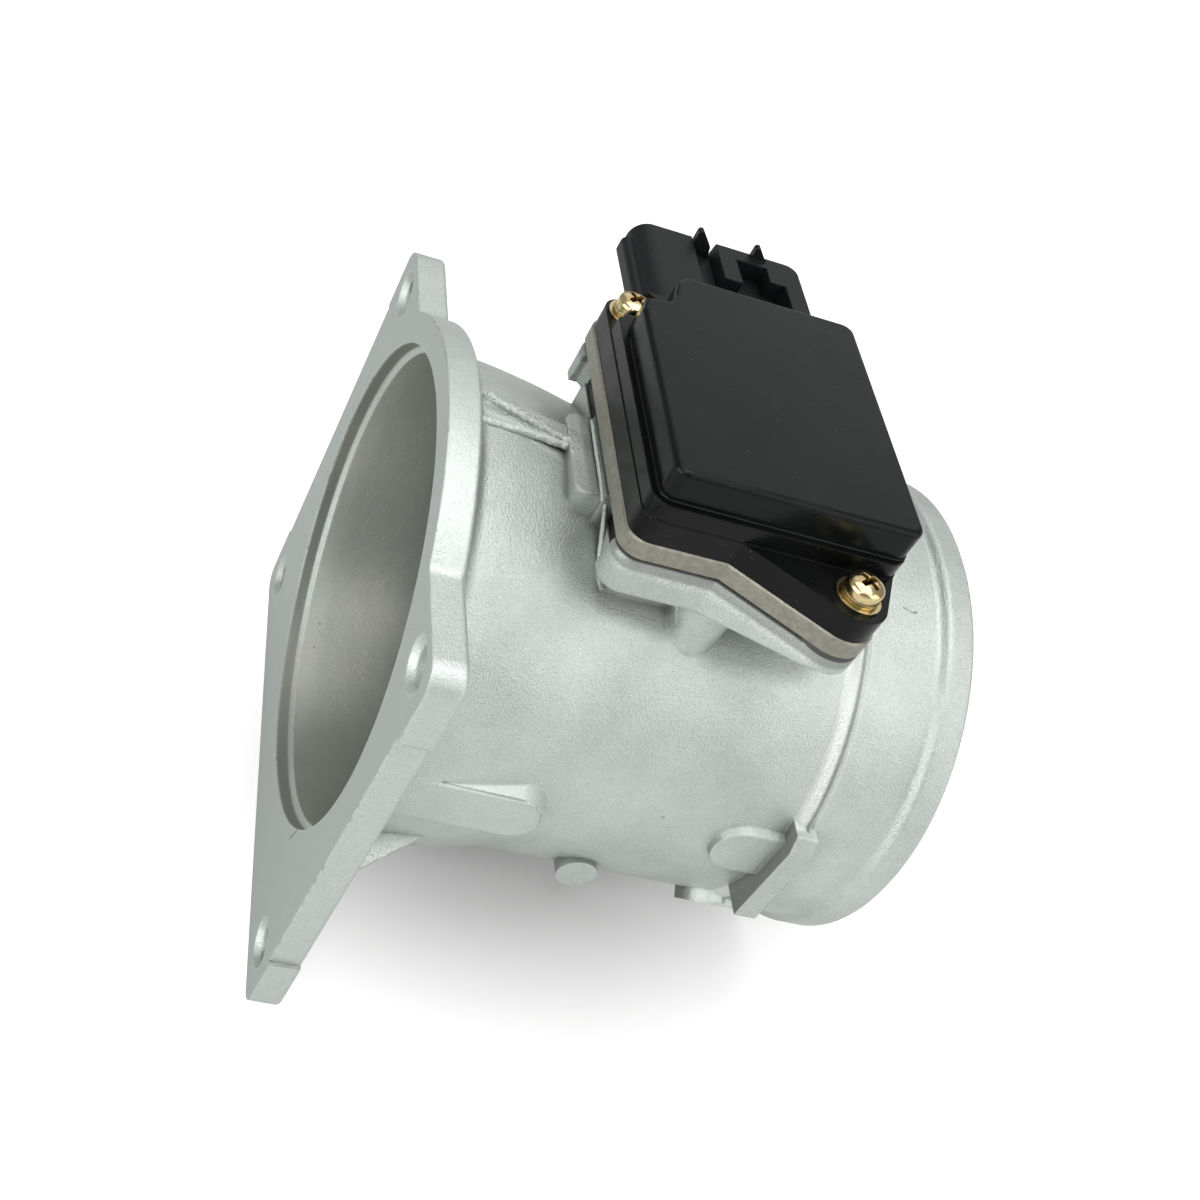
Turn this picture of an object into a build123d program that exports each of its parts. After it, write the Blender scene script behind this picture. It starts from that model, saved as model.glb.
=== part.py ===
"""Mass airflow sensor: cast flanged tube, plug-in hot-wire probe and electronics module.

Frame: origin at the centre of the inlet bore on the flange's mating face, +X along the air flow,
+Z up through the module, +Y towards the side that carries the electrical connector.
"""
from build123d import *
from math import acos, atan2, cos, hypot, sin, sqrt
import os

os.makedirs("parts", exist_ok=True)

# Tube, as radii at stations along the flow; the stations' second value is a share of the drop
inlet_r = 41.0
inlet_lip = 2.2
lip_step = 0.9
throat_r = 34.9
throat_start = 40.0
throat_end = 66.0
outlet_bore_r = throat_r + 1.1
flare_len = 13.0
cone_stations = ((12.0, 0.35), (26.0, 0.81))
body_r = throat_r + 2.9
tube_root_r = inlet_r + 0.2
taper_stations = ((15.1, 0.18), (23.7, 0.59))
taper_end = 34.0
tube_len = 91.6
neck_len = 18.6
neck_start = tube_len - neck_len
neck_r = body_r + 1.2
rim_start = tube_len - 5.0
rim_r = neck_r + 1.4

# Flange
flange_t = 5.5
flange_half_y = 48.6
flange_top = 35.5
flange_bottom = 52.7
root_fillet = 3.0
flange_arc_r = tube_root_r + root_fillet + 1.8
lug_out = 0.8
lug_len = 14.0
lug_top_r, lug_bottom_r = 4.2, 3.2
notch_r = 2.5
back_round = 0.8
bolt_y = flange_half_y - 6.6
bolt_top = flange_top - 6.0
bolt_bottom = flange_bottom - 8.1
bolt_hole_d = 6.6
bolt_rim_d = 8.6
gusset_lean = 0.326
gusset_end_x = 17.0
gusset_t = 2.8

# Module footprint and levels
mod_x0, mod_x1 = 25.4, 66.6
mod_half_y = 26.0
mod_corner_r = 3.6
ear_xy = (58.0, -30.8)
ear_r = 5.1
ear_from_x = 41.0
ear_to_y = -22.4
corner_screw_xy = (29.6, 21.8)
corner_cut = ((-5.2, -6.2), (-3.2, -5.4), (-1.4, -3.2), (0.0, 0.0), (1.8, 5.2), (-5.2, 5.2))
cover_notch = (
    (-3.6, -9.3),
    (-2.6, -9.3),
    (-1.7, -6.2),
    (2.6, -5.4),
    (3.6, -3.4),
    (4.6, 0.4),
    (6.4, 2.6),
    (6.4, 3.6),
    (-3.6, 3.6),
)
screw_places = (ear_xy, corner_screw_xy)
seat_z = 38.0
plate_z = 43.7
plate_t = 3.1
ear_top_z = 51.0
seam_z = 54.0
cover_z0 = 54.25
cover_top_z = 59.5
housing_inset = 0.3
housing_wall = 2.3
cover_x0, cover_x1 = 27.0, 66.0
cover_half_y = 24.4
cover_corner_r = 2.2
cover_wall = 1.6
cover_round = 0.9
recess_r = 4.4
bead_inset, bead_w = 0.35, 0.9
seat_gap = 0.25

# Saddle of the casting
rim_bottom_z = 36.5
rim_top_z = 43.45
ear_bottom_z = 40.0
ear_rise, ear_run = 0.33, 0.944
rim_wall = 4.2
rim_round = 1.6
window_near = (-21.6, -12.7)
window_far = (4.7, 20.5)
corner_boss_r = 3.2
screw_hole_depth = 9.0
pedestal_x0 = 27.6
pedestal_half_y = 21.0
pedestal_root_z = 20.0
rib_root_z = 30.0
clear_h = 10.0
column_xy = (44.6, -21.4)
column_r = 4.7
tab_x0, tab_z = 21.3, 41.5
tab_y = (-12.0, 6.0)
side_pad_y, side_pad_half, side_pad_end = 41.0, 6.0, 29.5

# Pads and bosses low on the near side
bar_from_end, boss_from_end = 20.8, 18.0
bar_x, bar_w = tube_len - bar_from_end, 3.8
bar_low, bar_high, bar_slope = -12.6, 8.6, 3.2
bar_out = neck_r + 2.3
round_pad_x, round_pad_z, round_pad_r = bar_x - 5.4, 0.4, 5.6
low_boss_xz, low_boss_r = (45.6, -17.8), 3.4
wide_boss_x, wide_boss_r = tube_len - boss_from_end, 6.4

# Probe with an arched air passage, open upstream and downstream
probe_x = 46.0
probe_len, probe_wid = 24.0, 14.0
probe_r = 1.6
probe_tip_z = -2.0
socket_gap = 0.3
flange_gap = 0.3
tongue_x = 27.9
duct_wall = 1.8
duct_mid = 2.0
duct_port = (1.5, 11.5)
duct_arch = (20.0, 29.5)
lid_t = 1.6
lid_ledge = 1.0
pin_block = (14.0, 4.8)
pin_block_z = 47.2
pin_block_gap = 0.2

# Seal under the probe's flange
seal_land = 1.0
seal_w, seal_h = 1.6, 1.4
seal_out = seal_land + seal_w

# Screws with their washers
screw_d = 3.0
screw_len = 12.0
screw_play = 0.2
thread_play = 0.03
washer_d, washer_t = 7.0, 0.5
spring_d, spring_t, spring_slit = 5.8, 0.8, 0.6
head_d, head_h = 5.6, 2.3
recess_len, recess_w, recess_depth = 3.3, 0.95, 1.4
spring_turn = 35
sleeve_d = 5.4

# Electronics
board = (26.0, 15.0, 0.8)
board_xy = (49.5, 11.9)
glue_t = 0.15
chips = (((42.6, 11.6), (5.2, 4.4, 1.1)), ((53.4, 11.4), (7.2, 6.0, 1.3)))
resistor = (1.6, 0.8, 0.45)
resistor_rows = ((47.4, 8.0), (47.4, 10.2), (47.4, 12.4), (47.4, 14.6), (59.6, 9.0), (59.6, 13.2))
capacitor = (2.0, 1.25, 0.9)
capacitor_rows = ((41.4, 16.2), (50.6, 16.2), (56.4, 16.2))
transistor = (10.2, 9.0, 3.2)
transistor_xy = (46.0, -13.5)
transistor_tab = (10.2, 4.4, 1.2)
lead_t = 0.25
lead_w = 1.3
pin_d = 0.8
pin_pitch = 3.2
pin_count = 4
pin_top_z = 48.6
pin_tip_z = 24.0
wire_d = 0.3
element_d = 1.0

# Connector
conn_x0, conn_x1 = 32.6, 63.4
conn_z0, conn_z1 = 41.2, 54.0
conn_y = 46.5
conn_r = 3.4
conn_cut = (4.0, 7.0)
mouth_corner_r = 2.2
conn_wall = 2.0
cavity_top_z = 49.6
cavity_r = 0.5
cavity_depth = 15.5
ridge_z = (47.9, 51.6)
ridge_out = 1.3
ridge_end_y = 44.4
under_shell = (40.0, 4.6, 20.0)
channel_x = (43.3, 47.6)
channel_depth = 2.6
latch_steps = ((47.7, 51.4, 36.6), (51.3, 57.1, 43.5), (57.0, 60.0, 39.5))
latch_y0 = 32.6
latch_depth = 3.5
fin_w, fin_h, fin_t = 3.1, 2.2, 1.4
fin_places = (43.6, 54.4)
blade_count = 6
blade_pitch = 3.9
blade = (2.2, 0.8)
blade_z = 48.4
blade_end_y = 43.0
blade_in_y = 21.0
blade_slot_len = 12.0
lead_lap, lead_foot = 1.2, 1.6


mod_mid = (mod_x0 + mod_x1) / 2
conn_mid = (conn_x0 + conn_x1) / 2
band_z = plate_z + plate_t
board_z = band_z + glue_t + board[2]
pocket = (mod_x1 - mod_x0 - 2 * rim_wall, 2 * (mod_half_y - rim_wall))
pocket_r = 2.5
washer_top_z = ear_top_z + washer_t
head_z = washer_top_z + spring_t
upwards = (Align.CENTER, Align.CENTER, Align.MIN)


def tangent_point(anchor, centre, radius, side):
    """Point where the line from the anchor touches the circle, on the given side of the centre line."""
    dx, dy = anchor[0] - centre[0], anchor[1] - centre[1]
    turn = side * acos(radius / hypot(dx, dy))
    angle = atan2(dy, dx) + turn
    return (centre[0] + radius * cos(angle), centre[1] + radius * sin(angle))


def footprint(inset):
    """Rounded rectangle of the module with its one outside ear, all edges moved inwards by the inset."""
    x0, x1, half = mod_x0 + inset, mod_x1 - inset, mod_half_y - inset
    radius = ear_r - inset
    start, end = (ear_from_x, -half), (x1, ear_to_y)
    with BuildSketch() as outline:
        with Locations(((x0 + x1) / 2, 0)):
            RectangleRounded(x1 - x0, 2 * half, mod_corner_r - inset)
        with BuildLine():
            Polyline(
                start,
                tangent_point(start, ear_xy, radius, 1),
                ear_xy,
                tangent_point(end, ear_xy, radius, -1),
                end,
                (ear_from_x, ear_to_y),
                close=True,
            )
        make_face()
        with Locations(ear_xy):
            Circle(radius)
    return outline.sketch


def beside_screw(path):
    """Points of a path that is given from the corner screw's axis."""
    return [(corner_screw_xy[0] + x, corner_screw_xy[1] + y) for x, y in path]


def shell_profile(inset):
    """Outline of the connector shell with chamfered lower corners, all edges moved inwards."""
    x0, x1, z0 = conn_x0 + inset, conn_x1 - inset, conn_z0 + inset
    shift = 1 + inset * hypot(*conn_cut) / (conn_cut[0] * conn_cut[1])
    side_z = conn_z0 + conn_cut[1] * (shift - inset / conn_cut[0])
    foot = conn_cut[0] * (shift - inset / conn_cut[1])
    top = conn_z1 if inset == 0 else cavity_top_z
    with BuildSketch(Plane.XZ.offset(-mod_half_y + 1)) as outline:
        with BuildLine():
            Polyline(
                (x0, top),
                (x1, top),
                (x1, side_z),
                (conn_x1 - foot, z0),
                (conn_x0 + foot, z0),
                (x0, side_z),
                close=True,
            )
        make_face()
        corner = outline.vertices().filter_by(lambda v: v.X < x0 + 0.1 and v.Y > top - 0.1)
        fillet(corner, conn_r if inset == 0 else cavity_r)
        fillet(outline.vertices().filter_by(lambda v: v.Y < side_z + 0.1), 1.0)
    return outline.sketch


# Rim of the saddle with its pocket for the probe's flange, later joined to the cast body
with BuildPart() as seat_rim:
    with BuildSketch(Plane.XY.offset(rim_bottom_z)):
        add(footprint(0.15))
    extrude(amount=rim_top_z - rim_bottom_z)
    fillet(seat_rim.faces().sort_by(Axis.Z)[-1].edges(), rim_round)
    ear_slope = Plane(
        origin=(0, -mod_half_y, rim_bottom_z), x_dir=(1, 0, 0), z_dir=(0, -ear_rise, -ear_run)
    )
    split(bisect_by=ear_slope, keep=Keep.BOTTOM)
    with BuildSketch(Plane.XY.offset(seat_z)):
        with Locations((mod_mid, 0)):
            RectangleRounded(*pocket, pocket_r)
    extrude(amount=rim_top_z - seat_z, mode=Mode.SUBTRACT)
    for low, high in (window_near, window_far):
        with Locations((mod_x0, (low + high) / 2, seat_z)):
            Box(3 * rim_wall, high - low, clear_h, align=upwards, mode=Mode.SUBTRACT)
    with Locations((mod_x0, 0, rim_bottom_z)):
        Box(
            2 * (pedestal_x0 - mod_x0),
            2 * pedestal_half_y,
            2 * (seat_z - rim_bottom_z),
            mode=Mode.SUBTRACT,
        )
    with BuildSketch(Plane.XY.offset(ear_bottom_z)):
        with Locations(ear_xy):
            Circle(ear_r)
    extrude(amount=plate_z - ear_bottom_z)
    with BuildSketch(Plane.XY.offset(seat_z - 1)):
        with Locations(corner_screw_xy):
            Circle(corner_boss_r)
    extrude(amount=plate_z - seat_z + 1)

# Cast body: tube, flange, saddle and bosses in one piece
with BuildPart() as meter_body:
    with BuildSketch(Plane.XZ) as tube_profile:
        with BuildLine():
            foot = Line((0, 0), (0, inlet_r + 2))
            back = Line(foot @ 1, (flange_t, inlet_r + 2))
            drop = Line(back @ 1, (flange_t, tube_root_r + root_fillet))
            root = RadiusArc(drop @ 1, (flange_t + root_fillet, tube_root_r), -root_fillet)
            taper = Spline(
                root @ 1,
                *[(x, tube_root_r - share * (tube_root_r - body_r)) for x, share in taper_stations],
                (taper_end, body_r),
                tangents=((1, -0.02), (1, 0)),
            )
            waist = Line(taper @ 1, (neck_start - 2.4, body_r))
            step = Spline(waist @ 1, (neck_start, neck_r), tangents=((1, 0), (1, 0.2)))
            groove = Polyline(step @ 1, (neck_start + 0.7, neck_r - 0.3), (neck_start + 1.1, neck_r))
            neck = Line(groove @ 1, (rim_start - 1.4, neck_r + 0.2))
            bead = Spline(neck @ 1, (rim_start + 0.8, rim_r), tangents=((1, 0), (1, 0)))
            rim = Line(bead @ 1, (tube_len - 0.7, rim_r))
            end = Polyline(rim @ 1, (tube_len, rim_r - 0.7), (tube_len, 0), foot @ 0)
        make_face()
    revolve(axis=Axis.X)

    # Flange plate with four lugs and an arc over the bore
    with BuildSketch(Plane.YZ) as flange_outline:
        with Locations((0, (flange_top - flange_bottom) / 2)):
            Rectangle(2 * flange_half_y, flange_top + flange_bottom)
        lug_y = flange_half_y + lug_out - lug_len / 2
        for level in (flange_top - lug_len / 2, lug_len / 2 - flange_bottom):
            with Locations((-lug_y, level), (lug_y, level)):
                Rectangle(lug_len, lug_len)
        corners = flange_outline.vertices().group_by(Axis.X)
        outer = ShapeList(corners[0] + corners[-1])
        fillet(outer.filter_by(lambda v: v.Y > flange_top - 1), lug_top_r)
        corners = flange_outline.vertices().filter_by(
            lambda v: v.Y < 1 - flange_bottom and abs(v.X) > flange_half_y
        )
        fillet(corners, lug_bottom_r)
        Circle(flange_arc_r)
        notch = flange_outline.vertices().filter_by(
            lambda v: abs(v.Y - flange_top) < 0.1 and abs(v.X) < flange_arc_r
        )
        fillet(notch.filter_by(lambda v: abs(v.X) < flange_half_y - lug_len + 1), notch_r)
    extrude(amount=flange_t)
    back_faces = meter_body.faces().filter_by(Plane.YZ)
    flange_back = back_faces.filter_by(lambda f: abs(f.center().X - flange_t) < 0.01)
    fillet(
        flange_back.edges().filter_by(lambda e: hypot(e.center().Y, e.center().Z) > flange_arc_r - 1),
        back_round,
    )

    # Gussets from the flange's back to the tube
    for side in (-1, 1):
        lean = Plane(
            origin=(0, 0, 0),
            x_dir=(1, 0, 0),
            z_dir=(0, side * gusset_lean, sqrt(1 - gusset_lean**2)),
        )
        with BuildSketch(lean) as gusset:
            with BuildLine():
                Polyline(
                    (flange_t - 1, side * (tube_root_r - 5)),
                    (flange_t - 1, side * (flange_half_y - 0.4)),
                    (flange_t + 0.6, side * (flange_half_y - 0.6)),
                    (gusset_end_x, side * (tube_root_r - 1)),
                    (gusset_end_x, side * (tube_root_r - 5)),
                    close=True,
                )
            make_face()
        extrude(amount=gusset_t / 2, both=True)

    # Machined seat, pedestal and the rim that carries the module plate
    with Locations(((pedestal_x0 + mod_x1) / 2, 0, seat_z)):
        Box(mod_x1 - pedestal_x0, 2 * mod_half_y, clear_h, align=upwards, mode=Mode.SUBTRACT)
    with BuildSketch(Plane.XY.offset(pedestal_root_z)) as pedestal:
        with Locations(((pedestal_x0 + mod_x1) / 2, 0)):
            RectangleRounded(mod_x1 - pedestal_x0, 2 * pedestal_half_y, 1.5)
    extrude(amount=seat_z - pedestal_root_z)
    add(seat_rim.part)

    # Step pad in front of the plate, with the low wall under the plate's edge
    with BuildSketch(Plane.XY.offset(rib_root_z)) as step_pad:
        with Locations(((tab_x0 + pedestal_x0) / 2, (tab_y[0] + tab_y[1]) / 2)):
            Rectangle(pedestal_x0 - tab_x0, tab_y[1] - tab_y[0])
        fillet(step_pad.vertices().group_by(Axis.X)[0], 2)
    extrude(amount=tab_z - rib_root_z)
    wall_y = (window_near[1] + window_far[0]) / 2
    with Locations(((mod_x0 + pedestal_x0) / 2 + 0.1, wall_y, rib_root_z)):
        Box(
            pedestal_x0 - mod_x0,
            window_far[0] - window_near[1],
            plate_z - seat_gap - rib_root_z,
            align=upwards,
        )

    # Column under the rim
    with BuildSketch(Plane.XY.offset(pedestal_root_z)) as column:
        with Locations(column_xy):
            Circle(column_r)
    extrude(amount=rim_bottom_z - pedestal_root_z)

    # Wedge-shaped rib along the top, from the flange to the step pad
    with BuildSketch(Plane.XY.offset(rib_root_z)) as top_rib:
        with BuildLine():
            Polyline((flange_t, -1.6), (flange_t, 6.8), (tab_x0 + 1, 2.4), (tab_x0 + 1, -0.6), close=True)
        make_face()
    extrude(amount=tube_root_r + 0.1 - rib_root_z)

    # Long pads low on both sides, with drafted edges
    for view in (Plane.XZ, Plane.XZ.rotated((0, 0, 180))):
        reach = 1 if view.z_dir.Y < 0 else -1
        with BuildSketch(view.offset(side_pad_y - 5)) as side_pad:
            with Locations((reach * (flange_t + side_pad_end) / 2, -0.2)):
                RectangleRounded(side_pad_end - flange_t + 6, 2 * side_pad_half, side_pad_half - 0.2)
        extrude(amount=5, taper=18)

    # Round pad and stop bar on the shoulder
    with BuildSketch(Plane.XZ.offset(throat_r)) as round_pad:
        with Locations((round_pad_x, round_pad_z)):
            Circle(round_pad_r)
        with Locations(((round_pad_x + bar_x + 1) / 2, round_pad_z)):
            Rectangle(bar_x + 1 - round_pad_x, 2 * round_pad_r)
    extrude(amount=neck_r - 0.1 - throat_r, taper=12)
    with BuildSketch(Plane.YZ.offset(bar_x)) as stop_bar:
        with BuildLine():
            Polyline(
                (-throat_r, bar_low),
                (-bar_out, bar_low),
                (-bar_out, bar_high - bar_slope),
                (1.2 - bar_out, bar_high),
                (-throat_r, bar_high),
                close=True,
            )
        make_face()
    extrude(amount=bar_w)

    # Round bosses low on the near side
    with BuildSketch(Plane.XZ.offset(body_r - 8)) as low_boss:
        with Locations(low_boss_xz):
            Circle(low_boss_r)
    extrude(amount=6)
    boss_plane = Plane(origin=(wide_boss_x, 0, 0), x_dir=(1, 0, 0), z_dir=(0, -0.806, -0.592))
    with BuildSketch(boss_plane.offset(neck_r - 5)) as wide_boss:
        Circle(wide_boss_r)
    extrude(amount=5.9, taper=4)

    # Bore, probe socket, bolt holes and screw holes
    with BuildSketch(Plane.XZ) as bore_profile:
        with BuildLine():
            cone_r = inlet_r - lip_step
            lip = Polyline((-1, 0), (-1, inlet_r), (inlet_lip, inlet_r), (inlet_lip + 0.6, cone_r))
            cone = Spline(
                lip @ 1,
                *[(x, cone_r - share * (cone_r - throat_r)) for x, share in cone_stations],
                (throat_start, throat_r),
                tangents=((1, -0.3), (1, 0)),
            )
            throat = Line(cone @ 1, (throat_end, throat_r))
            flare = Spline(throat @ 1, (throat_end + flare_len, outlet_bore_r), tangents=((1, 0), (1, 0)))
            out = Line(flare @ 1, (tube_len - 1, outlet_bore_r))
            mouth = Polyline(
                out @ 1,
                (tube_len, outlet_bore_r + 1),
                (tube_len + 1, outlet_bore_r + 1),
                (tube_len + 1, 0),
                lip @ 0,
            )
        make_face()
    revolve(axis=Axis.X, mode=Mode.SUBTRACT)
    with BuildSketch(Plane.XY.offset(seat_z)) as socket:
        with Locations((probe_x, 0)):
            RectangleRounded(probe_len + 2 * socket_gap, probe_wid + 2 * socket_gap, probe_r + socket_gap)
    extrude(amount=-8, mode=Mode.SUBTRACT)
    for side in (-1, 1):
        for level in (bolt_top, -bolt_bottom):
            with BuildSketch(Plane.YZ) as bolt_hole:
                with Locations((side * bolt_y, level)):
                    Circle(bolt_hole_d / 2)
            extrude(amount=2 * flange_t, mode=Mode.SUBTRACT)
            with BuildSketch(Plane.YZ) as bolt_rim:
                with Locations((side * bolt_y, level)):
                    Circle(bolt_rim_d / 2)
            extrude(amount=(bolt_rim_d - bolt_hole_d) / 2, taper=45, mode=Mode.SUBTRACT)
    with BuildSketch(Plane.XY.offset(plate_z)) as screw_holes:
        with Locations(*screw_places):
            Circle(screw_d / 2 + thread_play)
    extrude(amount=-screw_hole_depth, mode=Mode.SUBTRACT)
meter_body.part.label = "meter_body"
export_step(meter_body.part, "parts/meter_body.step")

# Metal plate that closes the saddle and carries the electronics
with BuildPart() as base_plate:
    with BuildSketch(Plane.XY.offset(plate_z)):
        add(footprint(0))
        with Locations((probe_x, 0)):
            RectangleRounded(*pin_block, pin_block[1] / 2 - 0.1, mode=Mode.SUBTRACT)
        with Locations(*screw_places):
            Circle(screw_d / 2 + screw_play, mode=Mode.SUBTRACT)
    extrude(amount=plate_t)
    chamfer(base_plate.faces().sort_by(Axis.Z)[-1].outer_wire().edges(), 0.3)
base_plate.part.label = "base_plate"
export_step(base_plate.part, "parts/base_plate.step")

# Plastic frame of the module, in one piece with the connector shell
with BuildPart() as module_housing:
    with BuildSketch(Plane.XY.offset(band_z)):
        add(footprint(housing_inset))
    extrude(amount=ear_top_z - band_z)
    with BuildSketch(Plane.XY.offset(ear_top_z)):
        with Locations((mod_mid, 0)):
            RectangleRounded(
                mod_x1 - mod_x0 - 2 * housing_inset - 0.3,
                2 * (mod_half_y - housing_inset - 0.15),
                mod_corner_r - housing_inset,
            )
        with Locations(corner_screw_xy):
            Circle(recess_r, mode=Mode.SUBTRACT)
        with BuildLine():
            Polyline(*beside_screw(corner_cut), close=True)
        make_face(mode=Mode.SUBTRACT)
    extrude(amount=seam_z - ear_top_z)

    # Connector shell with its guide ridge, latch block, latch window and fins
    extrude(shell_profile(0), amount=conn_y - mod_half_y + 1, dir=(0, 1, 0))
    with BuildSketch(Plane.XY.offset(conn_z0)) as mouth_corner:
        with Locations((conn_x1, conn_y)):
            Rectangle(2 * mouth_corner_r, 2 * mouth_corner_r)
        with Locations((conn_x1 - mouth_corner_r, conn_y - mouth_corner_r)):
            Circle(mouth_corner_r, mode=Mode.SUBTRACT)
    extrude(amount=conn_z1 - conn_z0, mode=Mode.SUBTRACT)
    with BuildSketch(Plane.XZ.offset(-mod_half_y + 1)) as guide_ridge:
        with Locations((conn_x0, (ridge_z[0] + ridge_z[1]) / 2)):
            Rectangle(2 * ridge_out, ridge_z[1] - ridge_z[0])
        fillet(guide_ridge.vertices().group_by(Axis.X)[0], ridge_out - 0.2)
    extrude(amount=mod_half_y - 1 - ridge_end_y)
    with Locations((conn_mid, mod_half_y - 2, band_z)):
        Box(*under_shell, align=(Align.CENTER, Align.CENTER, Align.MAX), mode=Mode.SUBTRACT)
    with BuildSketch(Plane.XZ.offset(-mod_half_y)) as channel:
        with BuildLine():
            Polyline(
                (channel_x[0], conn_z1 + 1),
                (channel_x[0], conn_z1 - channel_depth),
                (channel_x[1], conn_z1 - channel_depth),
                (channel_x[1] + 0.5, conn_z1 + 1),
                close=True,
            )
        make_face()
    extrude(amount=mod_half_y - conn_y, mode=Mode.SUBTRACT)
    with BuildSketch(Plane.XY.offset(conn_z1)) as latch_recess:
        for x0, x1, y1 in latch_steps:
            with Locations(((x0 + x1) / 2, (latch_y0 + y1) / 2)):
                Rectangle(x1 - x0, y1 - latch_y0)
    extrude(amount=-latch_depth, mode=Mode.SUBTRACT)
    for place in fin_places:
        with BuildSketch(Plane.XZ.offset(-conn_y + fin_t)) as fin:
            with BuildLine():
                Polyline(
                    (place, conn_z1 - channel_depth),
                    (place, conn_z1 + fin_h - 0.3),
                    (place + 0.3, conn_z1 + fin_h),
                    (place + 0.8, conn_z1 + fin_h),
                    (place + fin_w, conn_z1 - 0.2),
                    (place + fin_w + 0.6, conn_z1 - channel_depth),
                    close=True,
                )
            make_face()
        extrude(amount=-fin_t)
    cavity_end = Pos(0, conn_y - cavity_depth - mod_half_y + 1, 0) * shell_profile(conn_wall)
    extrude(cavity_end, amount=cavity_depth, dir=(0, 1, 0), mode=Mode.SUBTRACT)
    with BuildSketch(Plane.XZ.offset(-conn_y)) as key_slots:
        with Locations((conn_mid - 8, conn_z0 + conn_wall), (conn_mid + 8, conn_z0 + conn_wall)):
            Rectangle(1.6, 1.6)
    extrude(amount=cavity_depth, mode=Mode.SUBTRACT)

    # Inside of the frame, blade slots and screw sleeves' seats
    with BuildSketch(Plane.XY.offset(band_z)):
        with Locations((mod_mid, 0)):
            RectangleRounded(
                mod_x1 - mod_x0 - 2 * (housing_inset + housing_wall),
                2 * (mod_half_y - housing_inset - housing_wall),
                1.2,
            )
        with Locations(corner_screw_xy):
            Circle(recess_r + 1.6, mode=Mode.SUBTRACT)
    extrude(amount=seam_z - band_z, mode=Mode.SUBTRACT)
    with Locations((conn_mid, mod_half_y, blade_z)):
        with GridLocations(blade_pitch, 1, blade_count, 1):
            Box(blade[0], blade_slot_len, blade[1], mode=Mode.SUBTRACT)
    with BuildSketch(Plane.XY.offset(band_z)):
        with Locations(*screw_places):
            Circle(sleeve_d / 2)
    extrude(amount=ear_top_z - band_z, mode=Mode.SUBTRACT)
module_housing.part.label = "module_housing"
export_step(module_housing.part, "parts/module_housing.step")

# Lid of the module, hollow below, with an ogee notch beside the corner screw
with BuildSketch(Plane.XY.offset(cover_z0)) as lid_outline:
    with Locations(((cover_x0 + cover_x1) / 2, 0)):
        RectangleRounded(cover_x1 - cover_x0, 2 * cover_half_y, cover_corner_r)
    with BuildLine():
        Polyline(*beside_screw(cover_notch), close=True)
    make_face(mode=Mode.SUBTRACT)
with BuildPart() as module_cover:
    add(lid_outline.sketch)
    extrude(amount=cover_top_z - cover_z0)
    fillet(module_cover.faces().sort_by(Axis.Z)[-1].edges(), cover_round)
    with BuildSketch(Plane.XY.offset(cover_z0)):
        add(lid_outline.sketch)
        offset(amount=-cover_wall, mode=Mode.REPLACE)
    extrude(amount=cover_top_z - cover_z0 - cover_wall, mode=Mode.SUBTRACT)
module_cover.part.label = "module_cover"
export_step(module_cover.part, "parts/module_cover.step")

# Bead of adhesive between the frame and the lid
with BuildPart() as cover_bead:
    with BuildSketch(Plane.XY.offset(seam_z)):
        add(lid_outline.sketch)
        offset(amount=-bead_inset, mode=Mode.REPLACE)
        inner = offset(amount=-bead_w, mode=Mode.PRIVATE)
        add(inner, mode=Mode.SUBTRACT)
    extrude(amount=cover_z0 - seam_z)
cover_bead.part.label = "cover_bead"
export_step(cover_bead.part, "parts/cover_bead.step")

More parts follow.
